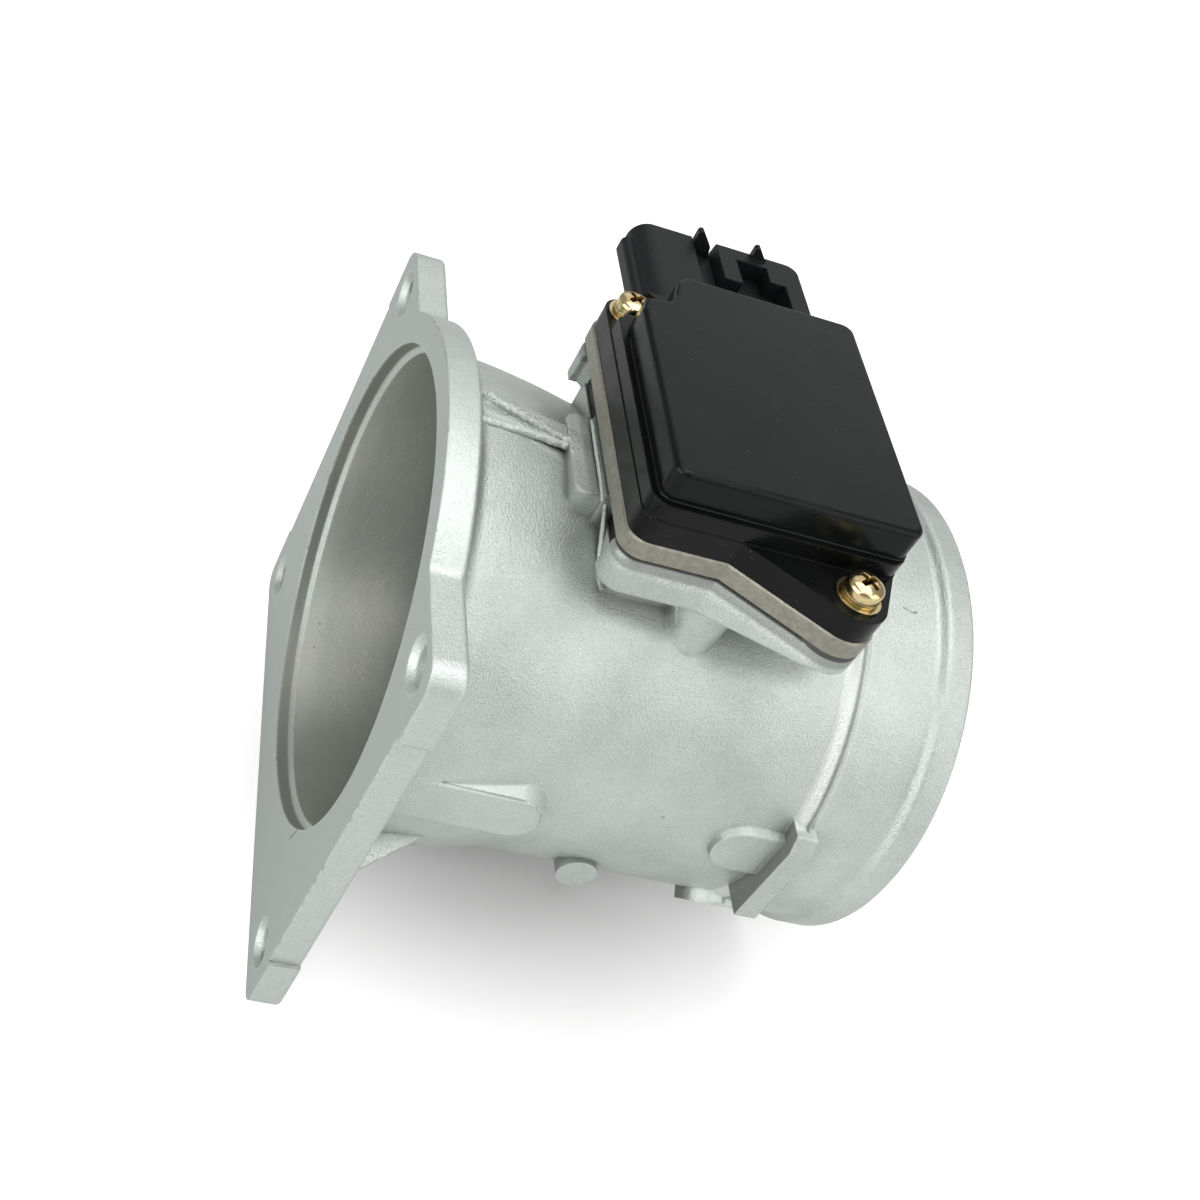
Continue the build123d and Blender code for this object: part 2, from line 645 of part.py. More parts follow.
# Probe: flange in the saddle's pocket, column in the air stream with its arched passage
with BuildPart() as probe_body:
    with BuildSketch(Plane.XY.offset(seat_z)):
        with Locations((mod_mid, 0)):
            RectangleRounded(pocket[0] - 2 * flange_gap, pocket[1] - 2 * flange_gap, pocket_r)
        for low, high in (window_near, window_far):
            with Locations(((tongue_x + mod_mid) / 2, (low + high) / 2)):
                Rectangle(mod_mid - tongue_x, high - low - 2 * flange_gap)
        with Locations(corner_screw_xy):
            Circle(corner_boss_r + flange_gap, mode=Mode.SUBTRACT)
    extrude(amount=plate_z - seat_z)
    with BuildSketch(Plane.XY.offset(plate_z)):
        with Locations((probe_x, 0)):
            RectangleRounded(
                pin_block[0] - 2 * pin_block_gap,
                pin_block[1] - 2 * pin_block_gap,
                pin_block[1] / 2 - pin_block_gap - 0.1,
            )
    extrude(amount=pin_block_z - plate_z)
    with BuildSketch(Plane.XY.offset(seat_z)):
        with Locations((probe_x, 0)):
            RectangleRounded(probe_len, probe_wid, probe_r)
    extrude(amount=probe_tip_z - seat_z)
    fillet(probe_body.faces().sort_by(Axis.Z)[0].edges(), 1)
    lid_face = probe_wid / 2
    leg_out = probe_len / 2 - probe_r - lid_ledge
    with BuildSketch(Plane.XZ.offset(-lid_face)) as passage:
        with Locations((probe_x, (duct_port[0] + duct_arch[1]) / 2)):
            RectangleRounded(2 * leg_out, duct_arch[1] - duct_port[0], 1.5)
        with Locations((probe_x, sum(duct_port) / 2)):
            Rectangle(probe_len + 1, duct_port[1] - duct_port[0])
        with Locations((probe_x, duct_arch[0] / 2)):
            Rectangle(duct_mid, duct_arch[0], mode=Mode.SUBTRACT)
    extrude(amount=probe_wid - duct_wall, mode=Mode.SUBTRACT)
    with BuildSketch(Plane.XZ.offset(-lid_face)) as lid_seat:
        with Locations((probe_x, (duct_port[0] + duct_arch[1]) / 2)):
            Rectangle(probe_len - 2 * probe_r, duct_arch[1] - duct_port[0] + 2 * lid_ledge)
    extrude(amount=lid_t, mode=Mode.SUBTRACT)
    with BuildSketch(Plane.XY.offset(seat_z)) as seal_groove:
        with Locations((probe_x, 0)):
            RectangleRounded(probe_len + 2 * seal_out, probe_wid + 2 * seal_out, probe_r + seal_out)
            RectangleRounded(
                probe_len + 2 * seal_land, probe_wid + 2 * seal_land, probe_r + seal_land, mode=Mode.SUBTRACT
            )
    extrude(amount=seal_h, mode=Mode.SUBTRACT)
    with BuildSketch(Plane.XY.offset(pin_top_z)):
        with Locations((probe_x, 0)):
            with GridLocations(pin_pitch, 1, pin_count, 1):
                Circle(pin_d / 2)
    extrude(amount=pin_tip_z - pin_top_z, mode=Mode.SUBTRACT)
probe_body.part.label = "probe_body"
export_step(probe_body.part, "parts/probe_body.step")

# Side lid that closes the passage
with BuildPart() as duct_lid:
    with BuildSketch(Plane.XZ.offset(-lid_face)):
        with Locations((probe_x, (duct_port[0] + duct_arch[1]) / 2)):
            Rectangle(probe_len - 2 * probe_r, duct_arch[1] - duct_port[0] + 2 * lid_ledge)
    extrude(amount=lid_t)
duct_lid.part.label = "duct_lid"
export_step(duct_lid.part, "parts/duct_lid.step")

# Rubber seal in the groove under the probe's flange
with BuildPart() as probe_seal:
    with BuildSketch(Plane.XY.offset(seat_z)):
        with Locations((probe_x, 0)):
            RectangleRounded(probe_len + 2 * seal_out, probe_wid + 2 * seal_out, probe_r + seal_out)
            RectangleRounded(
                probe_len + 2 * seal_land, probe_wid + 2 * seal_land, probe_r + seal_land, mode=Mode.SUBTRACT
            )
    extrude(amount=seal_h)
probe_seal.part.label = "probe_seal"
export_step(probe_seal.part, "parts/probe_seal.step")

# Pins moulded into the probe's head
with BuildPart() as sensor_pins:
    with BuildSketch(Plane.XY.offset(pin_tip_z)):
        with Locations((probe_x, 0)):
            with GridLocations(pin_pitch, 1, pin_count, 1):
                Circle(pin_d / 2)
    extrude(amount=pin_top_z - pin_tip_z)
sensor_pins.part.label = "sensor_pins"
export_step(sensor_pins.part, "parts/sensor_pins.step")

# Hot wire and temperature sensor, each a wound bobbin on a wire between two pin tips
wire_z = pin_tip_z - wire_d / 2
with BuildPart() as hot_wire_element:
    with BuildSketch(Plane.YZ.offset(probe_x - 1.5 * pin_pitch - pin_d / 2)):
        with Locations((0, wire_z)):
            Circle(wire_d / 2)
    extrude(amount=pin_pitch + pin_d)
    with BuildSketch(Plane.YZ.offset(probe_x - pin_pitch - 0.6)):
        with Locations((0, wire_z)):
            Circle(element_d / 2)
    extrude(amount=1.2)
hot_wire_element.part.label = "hot_wire_element"
export_step(hot_wire_element.part, "parts/hot_wire_element.step")

with BuildPart() as temperature_element:
    with BuildSketch(Plane.YZ.offset(probe_x + 0.5 * pin_pitch - pin_d / 2)):
        with Locations((0, wire_z)):
            Circle(wire_d / 2)
    extrude(amount=pin_pitch + pin_d)
    with BuildSketch(Plane.YZ.offset(probe_x + pin_pitch - 0.8)):
        with Locations((0, wire_z)):
            Circle(element_d / 2)
    extrude(amount=1.6)
temperature_element.part.label = "temperature_element"
export_step(temperature_element.part, "parts/temperature_element.step")

# Circuit on a ceramic board, glued to the metal plate
with BuildPart() as board_glue:
    with BuildSketch(Plane.XY.offset(band_z)):
        with Locations(board_xy):
            Rectangle(board[0] - 1, board[1] - 1)
    extrude(amount=glue_t)
board_glue.part.label = "board_glue"
export_step(board_glue.part, "parts/board_glue.step")

with BuildPart() as ceramic_board:
    with BuildSketch(Plane.XY.offset(band_z + glue_t)):
        with Locations(board_xy):
            Rectangle(board[0], board[1])
    extrude(amount=board[2])
ceramic_board.part.label = "ceramic_board"
export_step(ceramic_board.part, "parts/ceramic_board.step")

with BuildPart() as board_chips:
    for place, size in chips:
        with Locations((*place, board_z)):
            Box(*size, align=upwards)
    chamfer(board_chips.faces().filter_by(Axis.Z).group_by(Axis.Z)[0].edges(), 0.15)
board_chips.part.label = "board_chips"
export_step(board_chips.part, "parts/board_chips.step")

with BuildPart() as chip_resistors:
    with Locations(*[(x, y, board_z) for x, y in resistor_rows]):
        Box(*resistor, align=upwards)
chip_resistors.part.label = "chip_resistors"
export_step(chip_resistors.part, "parts/chip_resistors.step")

with BuildPart() as chip_capacitors:
    with Locations(*[(x, y, board_z) for x, y in capacitor_rows]):
        Box(*capacitor, align=upwards)
chip_capacitors.part.label = "chip_capacitors"
export_step(chip_capacitors.part, "parts/chip_capacitors.step")

# Power transistor on the metal plate
with BuildPart() as power_transistor:
    with Locations((*transistor_xy, band_z)):
        Box(*transistor, align=upwards)
    with Locations((transistor_xy[0], transistor_xy[1] - transistor[1] / 2, band_z)):
        Box(*transistor_tab, align=upwards)
    top = power_transistor.faces().sort_by(Axis.Z)[-1]
    chamfer(top.edges(), 0.5)
power_transistor.part.label = "power_transistor"
export_step(power_transistor.part, "parts/power_transistor.step")

# Blades of the connector and the leads to the board
with BuildPart() as connector_terminals:
    with Locations((conn_mid, (blade_in_y + blade_end_y) / 2, blade_z)):
        with GridLocations(blade_pitch, 1, blade_count, 1):
            Box(blade[0], blade_end_y - blade_in_y, blade[1])
    tips = connector_terminals.faces().filter_by(Axis.Y).group_by(Axis.Y)[-1]
    chamfer(tips.edges().filter_by(Axis.X), 0.3)
connector_terminals.part.label = "connector_terminals"
export_step(connector_terminals.part, "parts/connector_terminals.step")

with BuildPart() as terminal_leads:
    lead_len = blade_in_y + lead_lap - (board_xy[1] + board[1] / 2 - lead_foot)
    with Locations((conn_mid, blade_in_y + lead_lap - lead_len / 2, board_z)):
        with GridLocations(blade_pitch, 1, blade_count, 1):
            Box(lead_w, lead_len, blade_z - blade[1] / 2 - board_z, align=upwards)
terminal_leads.part.label = "terminal_leads"
export_step(terminal_leads.part, "parts/terminal_leads.step")

with BuildPart() as pin_leads:
    pin_lead_end = board_xy[1] - board[1] / 2 + 1.4
    with BuildSketch(Plane.XY.offset(board_z)):
        with Locations((probe_x, pin_lead_end / 2 - 0.4)):
            with GridLocations(pin_pitch, 1, pin_count, 1):
                Rectangle(lead_w, pin_lead_end + 0.8)
        with Locations((probe_x, 0)):
            with GridLocations(pin_pitch, 1, pin_count, 1):
                Circle(pin_d / 2, mode=Mode.SUBTRACT)
    extrude(amount=lead_t)
pin_leads.part.label = "pin_leads"
export_step(pin_leads.part, "parts/pin_leads.step")

# Metal sleeves in the frame, under the screws
with BuildPart() as compression_sleeves:
    with BuildSketch(Plane.XY.offset(band_z)):
        with Locations(*screw_places):
            Circle(sleeve_d / 2)
            Circle(screw_d / 2 + screw_play, mode=Mode.SUBTRACT)
    extrude(amount=ear_top_z - band_z)
compression_sleeves.part.label = "compression_sleeves"
export_step(compression_sleeves.part, "parts/compression_sleeves.step")

with BuildPart() as flat_washers:
    with BuildSketch(Plane.XY.offset(ear_top_z)):
        with Locations(*screw_places):
            Circle(washer_d / 2)
            Circle(screw_d / 2 + screw_play, mode=Mode.SUBTRACT)
    extrude(amount=washer_t)
flat_washers.part.label = "flat_washers"
export_step(flat_washers.part, "parts/flat_washers.step")

# Split spring washers, pressed flat
with BuildPart() as spring_washers:
    with BuildSketch(Plane.XY.offset(washer_top_z)):
        with Locations(*screw_places):
            Circle(spring_d / 2)
            Circle(screw_d / 2 + screw_play / 2, mode=Mode.SUBTRACT)
        for place in screw_places:
            with Locations(Location((*place, 0), (0, 0, spring_turn))):
                Rectangle(spring_d, spring_slit, align=(Align.MIN, Align.CENTER), mode=Mode.SUBTRACT)
    extrude(amount=spring_t)
spring_washers.part.label = "spring_washers"
export_step(spring_washers.part, "parts/spring_washers.step")

# Pan-head screws with a cross recess
with BuildPart() as module_screws:
    for place in screw_places:
        with BuildSketch(Plane.XZ.offset(-place[1])) as screw_profile:
            x = place[0]
            with BuildLine():
                stem = Polyline(
                    (x, head_z - screw_len),
                    (x + screw_d / 2 - 0.5, head_z - screw_len),
                    (x + screw_d / 2, head_z - screw_len + 0.5),
                    (x + screw_d / 2, head_z),
                    (x + head_d / 2, head_z),
                    (x + head_d / 2, head_z + 1.2),
                )
                crown = Spline(
                    stem @ 1,
                    (x + head_d / 2 - 0.7, head_z + 2.0),
                    (x + 0.9, head_z + head_h),
                    tangents=((-0.1, 1), (-1, 0)),
                )
                Polyline(crown @ 1, (x, head_z + head_h), stem @ 0)
            make_face()
        revolve(axis=Axis((*place, 0), (0, 0, 1)))
        with BuildSketch(Plane.XY.offset(head_z + head_h)):
            with Locations(Location((*place, 0), (0, 0, spring_turn))):
                Rectangle(recess_len, recess_w)
                Rectangle(recess_w, recess_len)
        extrude(amount=-recess_depth, taper=14, mode=Mode.SUBTRACT)
module_screws.part.label = "module_screws"
export_step(module_screws.part, "parts/module_screws.step")
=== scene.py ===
"""Mass airflow sensor on a pale studio floor: cast lines, finishes, camera and light."""

import logging
from dataclasses import dataclass
from enum import Enum

import bpy
from mathutils import Matrix, Vector


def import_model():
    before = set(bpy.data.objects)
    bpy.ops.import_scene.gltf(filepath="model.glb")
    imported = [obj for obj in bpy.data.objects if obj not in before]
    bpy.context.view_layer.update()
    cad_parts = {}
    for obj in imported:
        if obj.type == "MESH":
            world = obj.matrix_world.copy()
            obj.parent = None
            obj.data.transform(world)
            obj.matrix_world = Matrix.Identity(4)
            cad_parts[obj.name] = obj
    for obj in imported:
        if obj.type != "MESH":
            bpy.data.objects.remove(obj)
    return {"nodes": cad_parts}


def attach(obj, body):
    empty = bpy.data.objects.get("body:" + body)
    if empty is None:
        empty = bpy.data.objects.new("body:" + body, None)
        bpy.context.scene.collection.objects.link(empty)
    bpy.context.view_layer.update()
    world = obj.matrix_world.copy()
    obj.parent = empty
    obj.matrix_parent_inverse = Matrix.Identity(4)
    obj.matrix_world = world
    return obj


LOG = logging.getLogger("mass_airflow_sensor")
MM = 0.001
ROOT = "root"

EDGE_SAMPLES = 3
CORNER_SAMPLES = 4
EDGE_COSINES = (0.985, 0.9)
GRAIN_FADE = (0.3, 0.7)
SPECK_CORE = 0.5
STROKE_CORE = 0.4
FINE_STROKE_WIDTH = 0.28
FINE_STROKE_STRENGTH = 0.6

Socket = bpy.types.NodeSocket
Triple = tuple[float, float, float]
Span = tuple[float, float]


class Axis(Enum):
    """An axis of the shared frame."""

    X = 0
    Y = 1
    Z = 2


class Blend(Enum):
    """How two values are joined in a material."""

    MULTIPLY = "MULTIPLY"
    LARGER = "MAXIMUM"


class Ray(Enum):
    """A kind of ray that the floor and the sky tell apart."""

    CAMERA = "Is Camera Ray"
    GLOSSY = "Is Glossy Ray"
    TRANSMISSION = "Is Transmission Ray"


@dataclass(frozen=True)
class Pattern:
    """A noise: features on a millimetre, octaves, strength of the finer ones, and its fade.

    The fade says below which value of the noise there is nothing, and above which all of it.
    """

    per_mm: float
    detail: float = 2.0
    rough: float = 0.5
    fade: Span = GRAIN_FADE


@dataclass(frozen=True)
class Specks:
    """Small separate specks: cells on a millimetre, and a speck's radius as a share of its cell."""

    per_mm: float
    size: float


@dataclass(frozen=True)
class Stroke:
    """A soft line on the surface: both ends and half of its width in millimetres, and strength."""

    start: Triple
    end: Triple
    width: float
    strength: float = 1.0


def fine_strokes(*points: Triple) -> tuple[Stroke, ...]:
    """Lays fine dark strokes from point to point.

    Args:
        points: the points in order, in millimetres.

    Returns:
        The strokes.
    """
    return tuple(Stroke(a, b, FINE_STROKE_WIDTH, FINE_STROKE_STRENGTH) for a, b in zip(points, points[1:]))


class Graph:
    """Shorthand for the nodes of one material."""

    def __init__(self, name: str) -> None:
        """Starts a material that has a plain shader only.

        Args:
            name: the material's name.
        """
        self.material = bpy.data.materials.new(name)
        self.material.use_nodes = True
        self.tree = self.material.node_tree
        self.tree.nodes.clear()
        self.output = self.node("OutputMaterial")
        self.shader = self.node("BsdfPrincipled")
        self.link(self.shader.outputs[0], self.output.inputs[0])

    def node(self, kind: str, **settings: object) -> bpy.types.Node:
        """Adds a node.

        Args:
            kind: the node's type name without its Shader prefix.
            settings: attributes of the node.

        Returns:
            The new node.
        """
        made = self.tree.nodes.new("ShaderNode" + kind)
        for key, value in settings.items():
            setattr(made, key, value)
        return made

    def link(self, a: Socket, b: Socket) -> None:
        """Joins two sockets."""
        self.tree.links.new(a, b)

    def place(self) -> Socket:
        """Returns the Object coordinates, in metres."""
        return self.node("TexCoord").outputs["Object"]

    def direction(self) -> Socket:
        """Returns the face's own direction, without relief."""
        return self.node("NewGeometry").outputs["True Normal"]

    def along(self, axis: Axis) -> Socket:
        """Returns one Object coordinate, in metres."""
        made = self.node("SeparateXYZ")
        self.link(self.place(), made.inputs[0])
        return made.outputs[axis.value]

    def facing(self, axis: Axis) -> Socket:
        """Returns the cosine between the face's own direction and an axis."""
        made = self.node("SeparateXYZ")
        self.link(self.direction(), made.inputs[0])
        return made.outputs[axis.value]

    def radial(self) -> Socket:
        """Returns the vector from the bore's axis to the place."""
        made = self.node("VectorMath", operation="MULTIPLY")
        made.inputs[1].default_value = (0, 1, 1)
        self.link(self.place(), made.inputs[0])
        return made.outputs[0]

    def radius(self) -> Socket:
        """Returns the distance from the bore's axis, in metres."""
        made = self.node("VectorMath", operation="LENGTH")
        self.link(self.radial(), made.inputs[0])
        return made.outputs["Value"]

    def dot(self, a: Socket, b: Socket | Vector) -> Socket:
        """Returns the dot product of a vector and another or a fixed one."""
        made = self.node("VectorMath", operation="DOT_PRODUCT")
        self.link(a, made.inputs[0])
        if isinstance(b, Vector):
            made.inputs[1].default_value = b
        else:
            self.link(b, made.inputs[1])
        return made.outputs["Value"]

    def outward(self) -> Socket:
        """Returns how far a face points away from the bore's axis, negative inside the bore."""
        unit = self.node("VectorMath", operation="NORMALIZE")
        self.link(self.radial(), unit.inputs[0])
        return self.dot(unit.outputs[0], self.direction())

    def ramp(self, value: Socket, span: Span, a: float = 0.0, b: float = 1.0) -> Socket:
        """Maps a value from one range to another, clamped.

        Args:
            value: the value's socket.
            span: where the mapping starts and ends.
            a: result at the start.
            b: result at the end.

        Returns:
            The mapped value's socket.
        """
        made = self.node("MapRange")
        for name, number in zip(("From Min", "From Max", "To Min", "To Max"), (*span, a, b)):
            made.inputs[name].default_value = number
        self.link(value, made.inputs["Value"])
        return made.outputs[0]

    def reach(self, length: Socket, span: Span, strength: float = 1.0) -> Socket:
        """Fades in along a length.

        Args:
            length: the length, in metres.
            span: where the fade starts and where it is complete, in millimetres.
            strength: result where it is complete.

        Returns:
            The fade, from 0 to its strength.
        """
        start, end = span
        return self.ramp(length, (start * MM, end * MM), 0.0, strength)

    def band(self, length: Socket, span: Span, soft: float) -> Socket:
        """Marks a band of a length.

        Args:
            length: the length, in metres.
            span: where the band starts and ends, in millimetres.
            soft: width of its soft edges, in millimetres.

        Returns:
            1 in the band, falling to 0 beside it.
        """
        start, end = span
        rise = self.reach(length, (start - soft, start))
        return self.product(rise, self.reach(length, (end + soft, end)))

    def noise(self, pattern: Pattern) -> Socket:
        """Returns a noise on Object coordinates, around 0.5."""
        made = self.node("TexNoise")
        made.inputs["Scale"].default_value = pattern.per_mm / MM
        made.inputs["Detail"].default_value = pattern.detail
        made.inputs["Roughness"].default_value = pattern.rough
        self.link(self.place(), made.inputs["Vector"])
        return made.outputs[0]

    def patches(self, pattern: Pattern, low: float = 0.0, high: float = 1.0) -> Socket:
        """Returns a noise that is mapped over its fade, from low to high."""
        return self.ramp(self.noise(pattern), pattern.fade, low, high)

    def flecks(self, specks: Specks) -> Socket:
        """Returns 1 on small specks and 0 beside them."""
        made = self.node("TexVoronoi")
        made.inputs["Scale"].default_value = specks.per_mm / MM
        self.link(self.place(), made.inputs["Vector"])
        return self.ramp(made.outputs["Distance"], (specks.size, specks.size * SPECK_CORE))

    def join(self, how: Blend, a: Socket, b: Socket | float) -> Socket:
        """Joins two values, or a value and a number.

        Args:
            how: the way of joining.
            a: first value.
            b: second value.

        Returns:
            The result's socket.
        """
        made = self.node("Math", operation=how.value)
        self.link(a, made.inputs[0])
        if isinstance(b, float):
            made.inputs[1].default_value = b
        else:
            self.link(b, made.inputs[1])
        return made.outputs[0]

    def product(self, first: Socket, *others: Socket | float) -> Socket:
        """Returns the product of a value and others."""
        for other in others:
            first = self.join(Blend.MULTIPLY, first, other)
        return first

    def largest(self, first: Socket, *others: Socket | float) -> Socket:
        """Returns the largest of a value and others."""
        for other in others:
            first = self.join(Blend.LARGER, first, other)
        return first

    def mix(self, factor: Socket, a: Triple | Socket, b: Triple | Socket) -> Socket:
        """Mixes two colours.

        Args:
            factor: share of the second colour.
            a: first colour, as numbers or a socket.
            b: second colour, as numbers or a socket.

        Returns:
            The mixed colour's socket.
        """
        made = self.node("Mix", data_type="RGBA")
        self.link(factor, made.inputs[0])
        for colour, socket in ((a, made.inputs[6]), (b, made.inputs[7])):
            if isinstance(colour, tuple):
                socket.default_value = (*colour, 1)
            else:
                self.link(colour, socket)
        return made.outputs[2]

    def stroke(self, mark: Stroke) -> Socket:
        """Marks a soft line on the surface.

        Args:
            mark: the line.

        Returns:
            The line's strength on it, falling to 0 beside it.
        """
        start = Vector(mark.start) * MM
        run = Vector(mark.end) * MM - start
        away = self.node("VectorMath", operation="SUBTRACT")
        self.link(self.place(), away.inputs[0])
        away.inputs[1].default_value = start
        share = self.ramp(self.dot(away.outputs[0], run / run.length_squared), (0.0, 1.0))
        foot = self.node("VectorMath", operation="SCALE")
        foot.inputs[0].default_value = run
        self.link(share, foot.inputs["Scale"])
        gap = self.node("VectorMath", operation="DISTANCE")
        self.link(away.outputs[0], gap.inputs[0])
        self.link(foot.outputs[0], gap.inputs[1])
        return self.reach(gap.outputs["Value"], (mark.width, mark.width * STROKE_CORE), mark.strength)

    def soft_edge(self, radius: float) -> Socket:
        """Returns a normal that rounds the edges by a radius in millimetres."""
        made = self.node("Bevel", samples=EDGE_SAMPLES)
        made.inputs["Radius"].default_value = radius * MM
        return made.outputs[0]

    def edges(self, rounded: Socket) -> Socket:
        """Returns 1 where a rounded normal leaves the face's own direction, 0 on open faces."""
        return self.ramp(self.dot(rounded, self.direction()), EDGE_COSINES)

    def openness(self, reach: float) -> Socket:
        """Returns 1 on open faces and less in corners, looking as far as a reach in millimetres."""
        made = self.node("AmbientOcclusion", samples=CORNER_SAMPLES)
        made.inputs["Distance"].default_value = reach * MM
        return made.outputs["AO"]

    def bump(self, height: Socket, depth: float, under: Socket | None = None) -> Socket:
        """Adds relief.

        Args:
            height: the relief's value.
            depth: the depth, in millimetres, that a value of 1 stands for.
            under: normal of coarser relief below it.

        Returns:
            The normal's socket.
        """
        made = self.node("Bump")
        made.inputs["Distance"].default_value = depth * MM
        self.link(height, made.inputs["Height"])
        if under is not None:
            self.link(under, made.inputs["Normal"])
        return made.outputs[0]

    def dress(
        self, colour: Socket, roughness: Socket, normal: Socket, metallic: float, gloss: float = 0.5
    ) -> None:
        """Feeds the shader.

        Args:
            colour: base colour.
            roughness: roughness.
            normal: surface normal with its relief.
            metallic: share of bare metal.
            gloss: level of the gloss of what isn't metal.
        """
        self.link(colour, self.shader.inputs["Base Color"])
        self.link(roughness, self.shader.inputs["Roughness"])
        self.link(normal, self.shader.inputs["Normal"])
        self.shader.inputs["Metallic"].default_value = metallic
        self.shader.inputs["Specular IOR Level"].default_value = gloss


@dataclass(frozen=True)
class CastReadings:
    """Values that several layers of the cast finish read: places, and masks from 0 to 1."""

    grain: Socket
    length: Socket
    outward: Socket
    flat: Socket
    inside: Socket
    outer: Socket
    smooth: Socket
    rim_side: Socket
    register: Socket
    on_tube: Socket
    crust: Socket
    rounded: Socket
    edge: Socket


@dataclass(frozen=True)
class CastAlloy:
    """Blasted cast aluminium: fine sparkle outside, smoother on the flange face and in the bore, with
    painted glints, painted highlights and painted shade in its colour.

    Places, widths and depths are in millimetres. Spans named _x, _z or _r say where along the
    flow, in height or in radius a change starts and where it is complete, and spans named _above
    count their height from the gap below the base plate. Spans named _cosines say the same of the
    way that a face looks, and the other spans of a pattern's or a corner's own value.
    """

    name: str = "cast_alloy"
    # Colours: blasted skin, painted glints and highlights, dirt and painted shade, machined face, flange's
    # sides, bore.
    pale: Triple = (0.7, 0.748, 0.708)
    # painted highlight colour: glints on grains and crust, the saddle's edge, open edges and the neck's step
    dull: Triple = (0.61, 0.655, 0.62)
    # colour of dirt, and of painted shade deeper in the bore, in corners and in the shade marks
    painted_glint: Triple = (0.96, 0.97, 0.95)
    dirt_and_shade: Triple = (0.08, 0.08, 0.075)
    face: Triple = (0.48, 0.525, 0.495)
    brushed: Triple = (0.68, 0.728, 0.695)
    bore: Triple = (0.37, 0.402, 0.364)
    stain: Triple = (0.415, 0.425, 0.375)
    metallic: float = 0.75
    roughness: Span = (0.5, 0.4)

    # Regions: machined face, flange's sides, register and bore.
    ahead_cosines: Span = (-0.9, -0.98)
    inward_cosines: Span = (-0.5, -0.8)
    outer_cosines: Span = (-0.5, -0.2)
    side_cosines: Span = (0.5, 0.8)
    face_x: Span = (0.5, 0.3)
    flange_x: Span = (5.7, 5.3)
    register_x: Span = (1.5, 5.0)
    register_soft: float = 0.2
    register_shade: float = 0.55
    bore_x: Span = (14.0, 50.0)
    bore_shade: float = 0.35

    # Patterns: clouds of colour, blasted grain with its relief, and slow waves below it.
    mottle: Pattern = Pattern(0.06, 3.0, 0.55, (0.38, 0.62))
    stains: Pattern = Pattern(0.045, 3.0, 0.6, (0.46, 0.6))
    grain: Pattern = Pattern(3.0, 2.0, 0.65)
    grain_depth: float = 0.13
    grain_low: Span = (0.55, 0.3)
    grain_high: Span = (0.42, 0.56)
    grain_shade: float = 0.16
    smooth_shade: float = 0.3
    smooth_depth: float = 0.25
    rim_calm: float = 0.6
    waves: Pattern = Pattern(0.4)
    wave_depth: float = 0.05

    # Painted glints on the grains and, thicker, on the rough crust of the top rib, the crust's heaps, and a
    # painted highlight along the saddle's upper edge.
    sparkle: float = 0.6
    smooth_sparkle: float = 0.08
    sparks: Specks = Specks(2.6, 0.3)
    spark_patches: Pattern = Pattern(0.3, fade=(0.42, 0.58))
    crust: Stroke = Stroke((7.6, 4.4, 41.2), (21.4, -1.2, 41.0), 3.4)
    crust_sparks: Specks = Specks(2.0, 0.42)
    heaps: Pattern = Pattern(1.2, 3.0, 0.7)
    heap_depth: float = 0.5
    # painted highlight: the bright band along the saddle's upper edge
    ridge: tuple[Stroke, ...] = (
        Stroke((26.6, -25.0, 40.6), (41.8, -26.0, 40.6), 0.9),
        Stroke((41.8, -26.0, 40.6), (56.0, -36.0, 41.0), 0.9),
    )

    # Rounded edges, brighter where open as wear and painted highlight, painted shade in corners, and a
    # painted highlight and a painted shade line at the turned step at the neck.
    edge: float = 0.6
    corner_reach: float = 3.0
    # open edges brightened: partly wear, partly painted highlight
    open_edges: Span = (0.7, 0.9)
    wear_and_highlight: float = 0.6
    # painted shade in corners, from ambient occlusion
    corners: Span = (0.66, 0.3)
    corner_shade: float = 0.7
    tube_r: Span = (39.9, 39.6)
    step_strength: float = 0.5
    # painted highlight on the step's convex fillet
    step_lit_x: Span = (71.0, 72.4)
    step_lit_soft: float = 0.3
    # painted shade line at the step's edge
    step_shade_line_x: Span = (72.8, 73.2)
    step_shade_line_soft: float = 0.15

    # Painted shade below the base plate, behind the flange, on the bar's side and round the plug; dirt in
    # nicks and pits.
    # painted reflection of the dark plate on the saddle's shoulder and painted shadow in the crevice below
    # the plate
    seat_x: Span = (23.0, 24.0)
    gap_z: float = 42.5
    shoulder_above: Span = (-1.6, -1.0)
    shoulder_shade: float = 0.4
    crevice_above: Span = (0.0, 0.35)
    crevice_shade: float = 0.95
    # painted shade behind the flange, along its root
    root_x: Span = (8.6, 6.2)
    root_start_x: Span = (5.4, 5.8)
    root_cosines: Span = (0.0, 0.3)
    root_z: Span = (-12.0, 14.0)
    root_shade: float = 0.5
    nick_x: Span = (1.4, 0.8)
    nicks: Pattern = Pattern(0.5, 3.0, 0.7, (0.57, 0.64))
    nick_shade: float = 0.7
    pits: Specks = Specks(0.16, 0.05)
    pit_patches: Pattern = Pattern(0.11, fade=(0.5, 0.55))
    pit_shade: float = 0.6
    # painted shade on the bar's side that faces upstream
    bar_cosines: Span = (-0.8, -0.95)
    bar_x: Span = (60.0, 61.0)
    bar_shade: float = 0.62
    # painted shade on the plug's side wall
    plug: Stroke = Stroke((45.6, -35.6, -17.8), (45.6, -31.0, -17.8), 4.6)
    plug_cosines: Span = (-0.96, -0.8)
    plug_shade: float = 0.85
    # Painted shade strokes and in the rib's valley, scratches, and a painted shade line along the side pad's
    # groove.
    # painted shade in the rib's valley between its crest and foot
    valley: Stroke = Stroke((6.6, 2.4, 41.3), (20.0, -0.2, 41.3), 1.3, 0.3)
